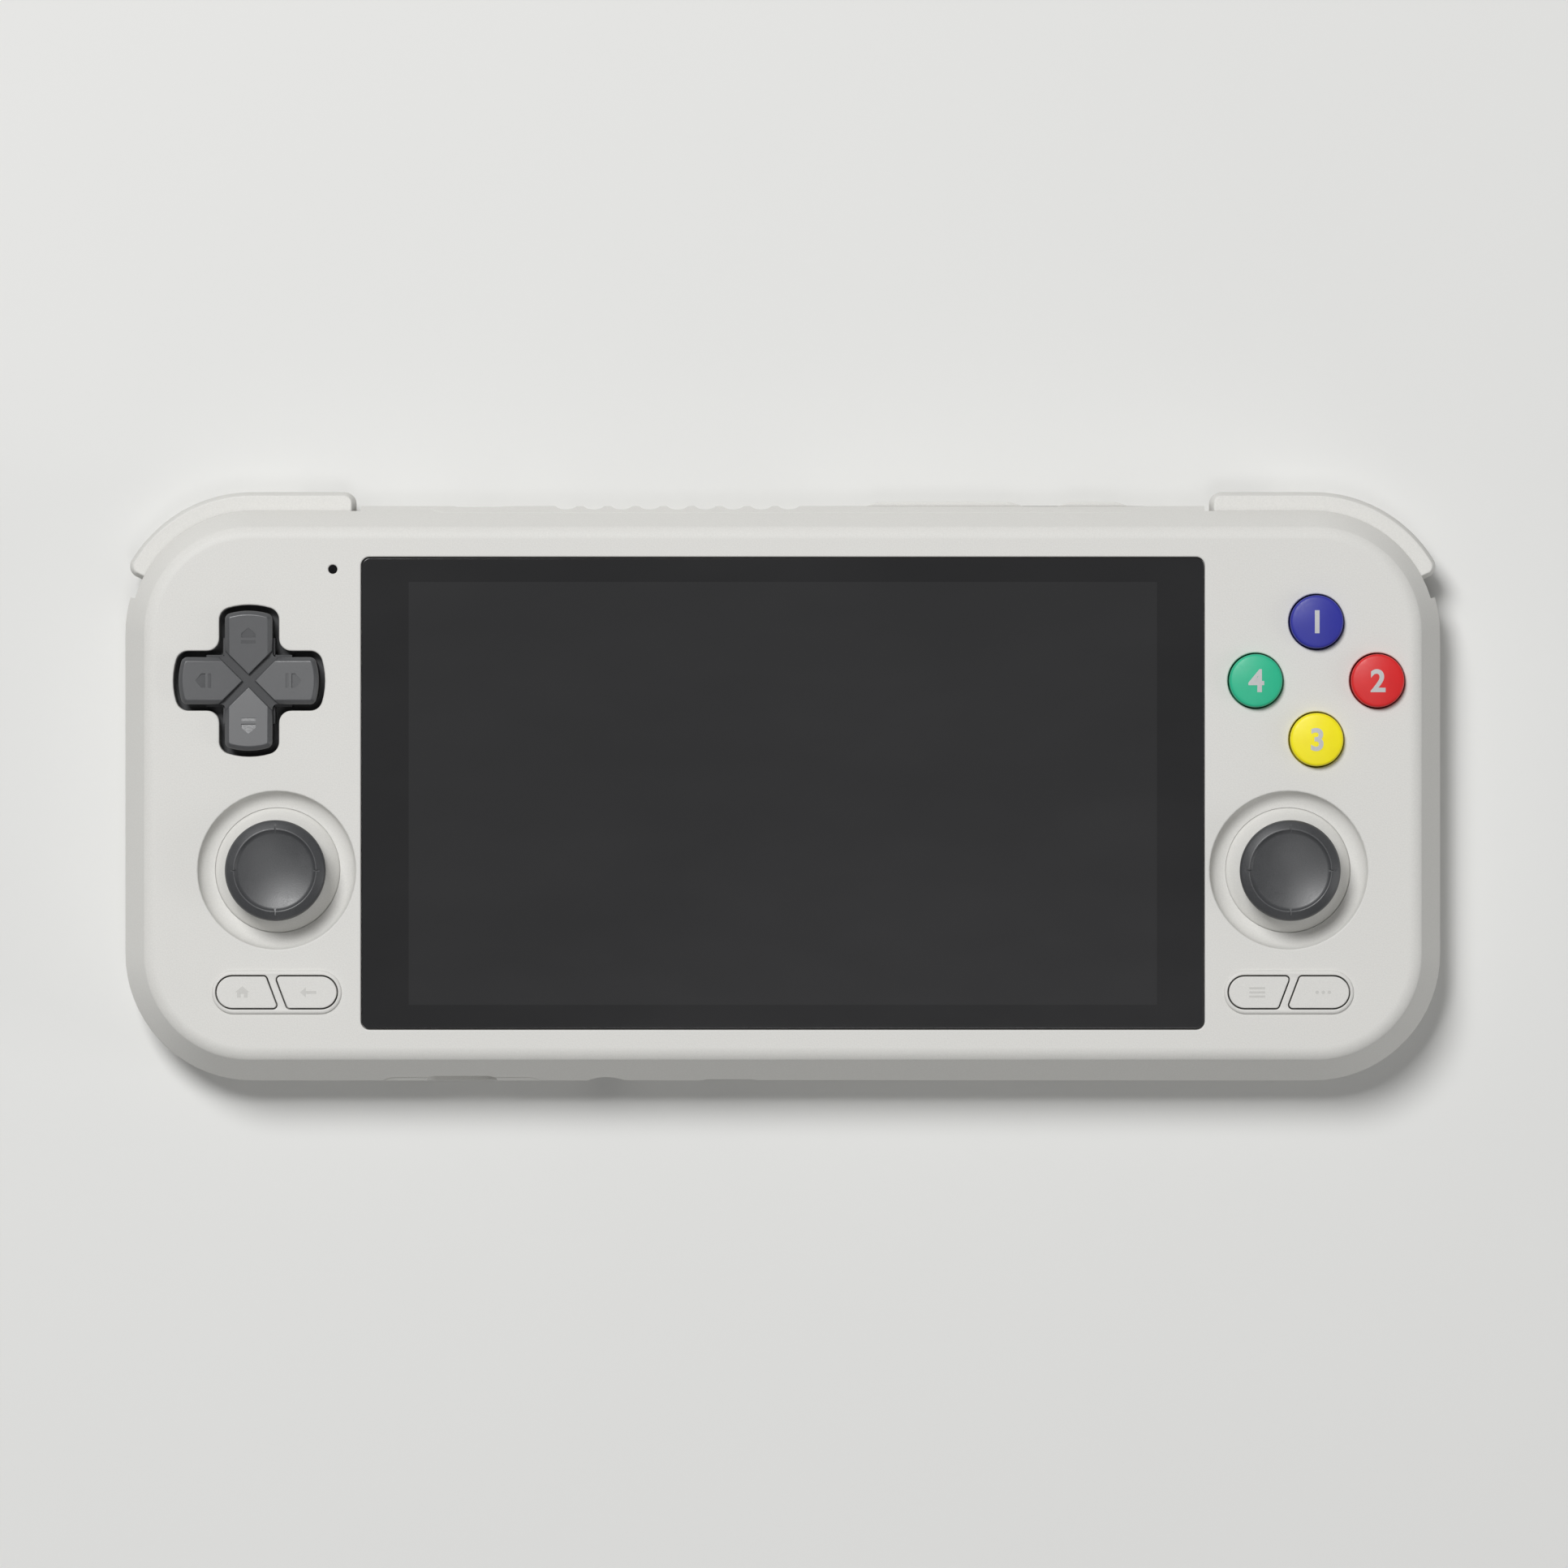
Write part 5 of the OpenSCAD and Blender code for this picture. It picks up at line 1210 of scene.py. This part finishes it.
@dataclass
class Shoulder:
    """One corner's bumper and trigger, drawn in the left corner's own frame."""

    hand: Hand
    centre: Point = (-74.2, 22.4)
    bumper_r: Point = (14.25, 19.75)
    bumper_z: Point = (5.0, 8.9)
    bumper_sweep: float = 64.0
    bumper_run: float = 14.45
    bumper_rim: Point = (0.6, 1.5)
    trigger_r: Point = (14.6, 19.3)
    trigger_z: Point = (0.4, 4.75)
    trigger_sweep: float = 56.0
    trigger_run: Point = (6.35, 13.75)
    trigger_round: float = 1.5
    tongue_z: float = 2.45
    end_r: float = 1.6
    pin: Point = (11.8, 13.8)
    pin_r: float = 0.95
    eye_r: float = 2.0
    crisp: float = 0.15
    slack: float = 0.02
    hair: float = 0.01
    lap: float = 0.5
    over: float = 2.0
    skin: float = 0.05
    spring_turn: float = 35.0
    spring_seat: tuple[float, float, float] = (1.46, 16.3, 2.575)
    spring_r: Point = (1.1, 0.16)
    spring_span: Point = (11.51, 16.04)
    spring_coils: int = 5
    coil_steps: int = 32

    def bar(self, radii: Point, sweep: float, run: float, heights: Point, blunt: bool = True) -> Shape:
        """A bar that goes round the corner and straight on.

        Args:
            radii: Inner and outer radius round the corner.
            sweep: Angle round the corner in degrees.
            run: Straight length past the corner.
            heights: Lower and upper height.
            blunt: True where the straight end has a round corner.

        Returns:
            The bar with sharp edges.
        """
        inner, outer = radii
        end = 90 + sweep
        tip = outer - self.end_r
        turn = end - math.degrees(math.asin(self.end_r / tip))
        tip_at = (tip * math.cos(math.radians(turn)), tip * math.sin(math.radians(turn)))
        start = arc((run - self.end_r, tip), self.end_r, 0, 90) if blunt else [(run, outer)]
        outline = [
            (run, inner), *start, *arc((0, 0), outer, 90, turn, 28),
            *arc(tip_at, self.end_r, turn, end + 90, 8)[1:], *arc((0, 0), inner, end, 90, 28),
        ]
        return Shape.plate(outline, *heights)

    def finished(self, shape: Shape, name: str, low: float, high: float) -> None:
        """Adds the eye on the pin, then puts a key in its corner.

        Args:
            shape: The key's bar.
            name: Its name.
            low: Lower end of the eye.
            high: Upper end of the eye.
        """
        eye = Shape.lathe(rod(self.eye_r, low, high), self.pin, steps=48)
        hole = Shape.lathe(rod(self.pin_r, low - self.over, high + self.over), self.pin, steps=32)
        shape.fused(eye).cut(hole).moved((*self.centre, 0))
        if self.hand is Hand.RIGHT:
            shape.mirrored()
        full = f"{self.hand.word}_{name}"
        shape.piece(f"{full}_moulding", SHELL, full, [full])

    def bumper(self) -> None:
        """Upper key, with a steep rim along its outer side and round its ends."""
        low, high = self.bumper_z
        shape = self.bar(self.bumper_r, self.bumper_sweep, self.bumper_run, self.bumper_z)

        def outer(edge: Edge) -> bool:
            """True for an edge of the bar's outer side and ends."""
            return convex(edge) and not self.inner_side(edge, self.bumper_r[0])

        shape.rounded(lambda edge: level(edge, high) and outer(edge), self.bumper_rim[0], 1)
        for vert in shape.bm.verts:
            if abs(vert.co.z - high + self.bumper_rim[0]) < CLOSE:
                vert.co.z = high - self.bumper_rim[1]
        shape.rounded(lambda edge: level(edge, high) and outer(edge), self.crisp, 3)
        shape.rounded(lambda edge: level(edge, low) and outer(edge), self.crisp, 2)
        self.finished(shape, "bumper", low, high - self.slack)

    def trigger(self) -> None:
        """Lower key, rounded towards the back, with a thin tongue to its pin."""
        low, high = self.trigger_z
        inner, outer = self.trigger_r
        thick, run = self.trigger_run
        shape = self.bar(self.trigger_r, self.trigger_sweep, thick, self.trigger_z, blunt=False)

        def outside(edge: Edge) -> bool:
            """True for an edge of the bar's outer side and tip."""
            return convex(edge) and not self.inner_side(edge, inner)

        shape.rounded(lambda edge: level(edge, low) and outside(edge), self.trigger_round, 7)
        shape.rounded(lambda edge: level(edge, high) and outside(edge) and self.sweeps(edge), self.crisp, 2)
        start = arc((run - self.end_r, outer - self.end_r), self.end_r, 0, 90)
        outline = [(thick - self.lap, inner), (run, inner), *start, (thick - self.lap, outer)]
        tongue = Shape.plate(outline, self.tongue_z, high - self.hair)
        tongue.rounded(rim_at(self.tongue_z), self.crisp, 2)
        radius, reach, height = self.spring_seat
        seat = Shape.lathe(rod(radius, inner - self.over, reach), (0, 0), steps=32)
        seat.tipped().moved((0, 0, height)).turned(self.spring_turn)
        shape.fused(tongue).cut(seat)
        self.finished(shape, "trigger", self.tongue_z + self.slack, high - self.slack)

    def sweeps(self, edge: Edge) -> bool:
        """True for an edge that isn't part of the flat end of the trigger's thick part."""
        return any(abs(vert.co.x - self.trigger_run[0]) > CLOSE for vert in edge.verts)

    def inner_side(self, edge: Edge, inner: float) -> bool:
        """True for an edge along the hidden inner side of a bar."""
        reaches = (vert.co.y if vert.co.x > 0 else vert.co.xy.length for vert in edge.verts)
        return all(reach < inner + self.skin for reach in reaches)

    def spring(self) -> None:
        """Coil behind the trigger."""
        radius, wire = self.spring_r
        near, far = self.spring_span
        steps = self.coil_steps * self.spring_coils
        shape = Shape()
        stand = Matrix.Translation((radius, 0, near + wire)) @ Matrix.Rotation(math.pi / 2, 4, "X")
        ring = bmesh.ops.create_circle(shape.bm, cap_ends=False, radius=wire, segments=10, matrix=stand)
        bmesh.ops.spin(
            shape.bm, geom=ring["verts"] + shape.bm.edges[:], cent=(0, 0, 0), axis=(0, 0, 1),
            dvec=(0, 0, (far - near - 2 * wire) / steps), angle=FULL_TURN * self.spring_coils, steps=steps,
        )
        bmesh.ops.holes_fill(shape.bm, edges=[edge for edge in shape.bm.edges if edge.is_boundary])
        height = self.spring_seat[2]
        shape.closed().tipped().moved((0, 0, height)).turned(self.spring_turn).moved((*self.centre, 0))
        lean = math.radians(90 + self.spring_turn)
        axis = Vector((math.cos(lean), math.sin(lean), 0))
        ends = [(axis * reach + Vector((*self.centre, height))) * MM for reach in self.spring_span]
        if self.hand is Hand.RIGHT:
            shape.mirrored()
            for end in ends:
                end.x = -end.x
        word = self.hand.word
        nodes = ["trigger_springs"] if self.hand is Hand.LEFT else []
        made = shape.piece(f"{word}_trigger_spring", STEEL, nodes=nodes)
        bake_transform(made)

    def build(self) -> None:
        """Makes both keys and the trigger's spring."""
        self.bumper()
        self.trigger()
        self.spring()


@dataclass
class SideKeys:
    """Volume rocker and power key."""

    bend: float = 0.7
    soft: float = 0.15
    turn: float = 10.0
    out_y: float = 40.1

    def build(self) -> None:
        """Makes both, with round ends and soft along their outer edges."""
        for body, node in (("volume", "volume_rocker"), ("power", "power_key")):
            shape = Shape.of_node(node)
            shape.rounded(lambda edge: convex(edge, self.turn) and self.corner(edge), self.bend, 6)
            shape.rounded(past(self.out_y, self.turn), self.soft)
            shape.piece(f"{node}_cap", SHELL, body, [node])

    def corner(self, edge: Edge) -> bool:
        """True for an upright edge at an end of a key's outer side."""
        low, high = (vert.co for vert in edge.verts)
        return (low - high).xy.length < CLOSE and low.y > self.out_y


@dataclass
class Inside:
    """What the casing hides, with its finishes."""

    finishes: dict[str, Finish] = field(default_factory=lambda: {
        "main_board": BOARD, "left_control_board": BOARD, "right_control_board": BOARD,
        "side_key_board": BOARD, "battery": WRAP, "fan_housing": DARK, "fan_rotor": DARK,
        "heat_sink": ALUMINIUM, "speakers": DARK, "usb_socket": STEEL, "video_socket": STEEL,
        "card_reader": STEEL, "shoulder_pins": STEEL, "bumper_switches": DARK, "ribbon_cables": FLEX,
    })
    jack_at: tuple[float, float, float] = (-24.7, -38.2, 5.2)
    collar: tuple[Point, ...] = (
        (1.8, 0.0), (1.8, 0.15), (2.15, 0.5), (2.95, 0.5), (3.3, 0.25), (3.3, 0.0), (1.8, 0.0),
    )
    tongue_share: float = 0.72
    tongue_back: Point = (0.77, 0.57)
    tongue_half: float = 0.38
    tongue_skin: float = 0.03
    tongue_edge: float = 0.06

    def build(self) -> None:
        """Dresses the CAD nodes and adds what is seen in the mouths of the sockets."""
        dress_nodes(self.finishes)
        self.headphone()
        for word, mouth in (("usb", -1), ("video", 1)):
            self.tongue(word, mouth)

    def headphone(self) -> None:
        """Socket with a round collar at its mouth."""
        ring = Shape.lathe(self.collar, (0, 0), 64).tipped().turned(180).moved(self.jack_at)
        socket = Shape.of_node("headphone_socket").joined(ring)
        socket.piece("headphone_socket_body", DARK, "root", ["headphone_socket"])

    def tongue(self, word: str, mouth: int) -> None:
        """Dark cover of the tongue in a metal socket.

        Args:
            word: The socket's word in its node's name.
            mouth: Sign of Y on the side of its mouth.
        """
        low, high = (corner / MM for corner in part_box(f"{word}_socket"))
        middle = (low + high) / 2
        half = self.tongue_share * (high.x - low.x) / 2 + self.tongue_skin
        front, back = self.tongue_back
        near, far = (low.y + front, high.y - back) if mouth < 0 else (low.y + back, high.y - front)
        outline = [(-half, near), (half, near), (half, far), (-half, far)]
        cover = Shape.plate(outline, -self.tongue_half, self.tongue_half)
        cover.rounded(convex, self.tongue_edge, 2).moved((middle.x, 0, middle.z))
        cover.piece(f"{word}_socket_tongue", DARK, "root")


def dress_nodes(finishes: dict[str, Finish]) -> None:
    """Gives CAD nodes that keep their shape a finish.

    Args:
        finishes: Finish of each node by name.
    """
    for node, finish in finishes.items():
        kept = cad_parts[node]
        kept.data.materials.clear()
        kept.data.materials.append(finish.material())
        LOG.info("node %s in %s", node, finish.name)


@dataclass
class Studio:
    """Floor, light and camera."""

    floor_half: float = 3.0
    floor_tint: Colour = srgb(231, 231, 229)
    sky: float = 0.12
    lamps: dict[str, tuple[float, float, Vector]] = field(default_factory=lambda: {
        "key_lamp": (20.0, 0.6, Vector((-0.42, 0.7, 1.376))),
        "front_lamp": (0.8, 0.6, Vector((0.1, -1.4, 0.5))),
        "right_lamp": (2.55, 0.6, Vector((1.4, -0.3, 0.5))),
        "fill_lamp": (2.2, 0.4, Vector((0.08, -0.4, 1.547))),
    })
    lens: float = 189.9
    sensor: float = 36.0
    camera_at: tuple[float, float, float] = (0.00017, 0.0013, 1.165)

    def build(self) -> None:
        """Sets up the studio."""
        self.floor()
        self.light()
        self.camera()

    def floor(self) -> None:
        """A plain pale floor under the console."""
        paint = Paint("pale_floor")
        cloud = paint.noise(size=60.0, detail=3.0)
        paint.feed(Base_Color=paint.tone(self.floor_tint, 0.01, cloud), Roughness=(cloud - 0.5) * 0.1 + 0.8)
        bm = bmesh.new()
        bmesh.ops.create_grid(bm, x_segments=1, y_segments=1, size=self.floor_half)
        mesh = bpy.data.meshes.new("floor")
        bm.to_mesh(mesh)
        bm.free()
        mesh.materials.append(paint.material)
        placed("floor", mesh)

    def light(self) -> None:
        """Even light all round, a soft lamp from the upper left and weaker ones that fill its shadows."""
        scene = bpy.context.scene
        scene.world = bpy.data.worlds.new("studio")
        scene.world.use_nodes = True
        background = scene.world.node_tree.nodes["Background"]
        background.inputs["Color"].default_value = (1, 1, 1, 1)
        background.inputs["Strength"].default_value = self.sky
        scene.view_settings.view_transform = "Standard"
        for name, (power, size, place) in self.lamps.items():
            lamp = bpy.data.lights.new(name, "AREA")
            lamp.energy, lamp.shape, lamp.size = power, "DISK", size
            holder = placed(name, lamp)
            holder.location = place
            holder.rotation_euler = (-place).to_track_quat("-Z", "Y").to_euler()

    def camera(self) -> None:
        """Camera straight above the screen."""
        data = bpy.data.cameras.new("camera")
        data.sensor_width, data.lens = self.sensor, self.lens
        camera = placed("camera", data)
        camera.location = self.camera_at
        bpy.context.scene.camera = camera


def main() -> None:
    """Builds the console from its sub-assemblies, then the studio."""
    logging.basicConfig(level=logging.INFO, format="%(message)s")
    parts = [Casing(), Screen(), DirectionPad(), FaceKeys(), MenuKeys()]
    parts += [kind(hand) for kind in (ThumbStick, Shoulder) for hand in Hand]
    parts += [SideKeys(), Inside(), Studio()]
    for part in parts:
        LOG.info("building %s", type(part).__name__)
        part.build()


if __name__ == "__main__":
    main()
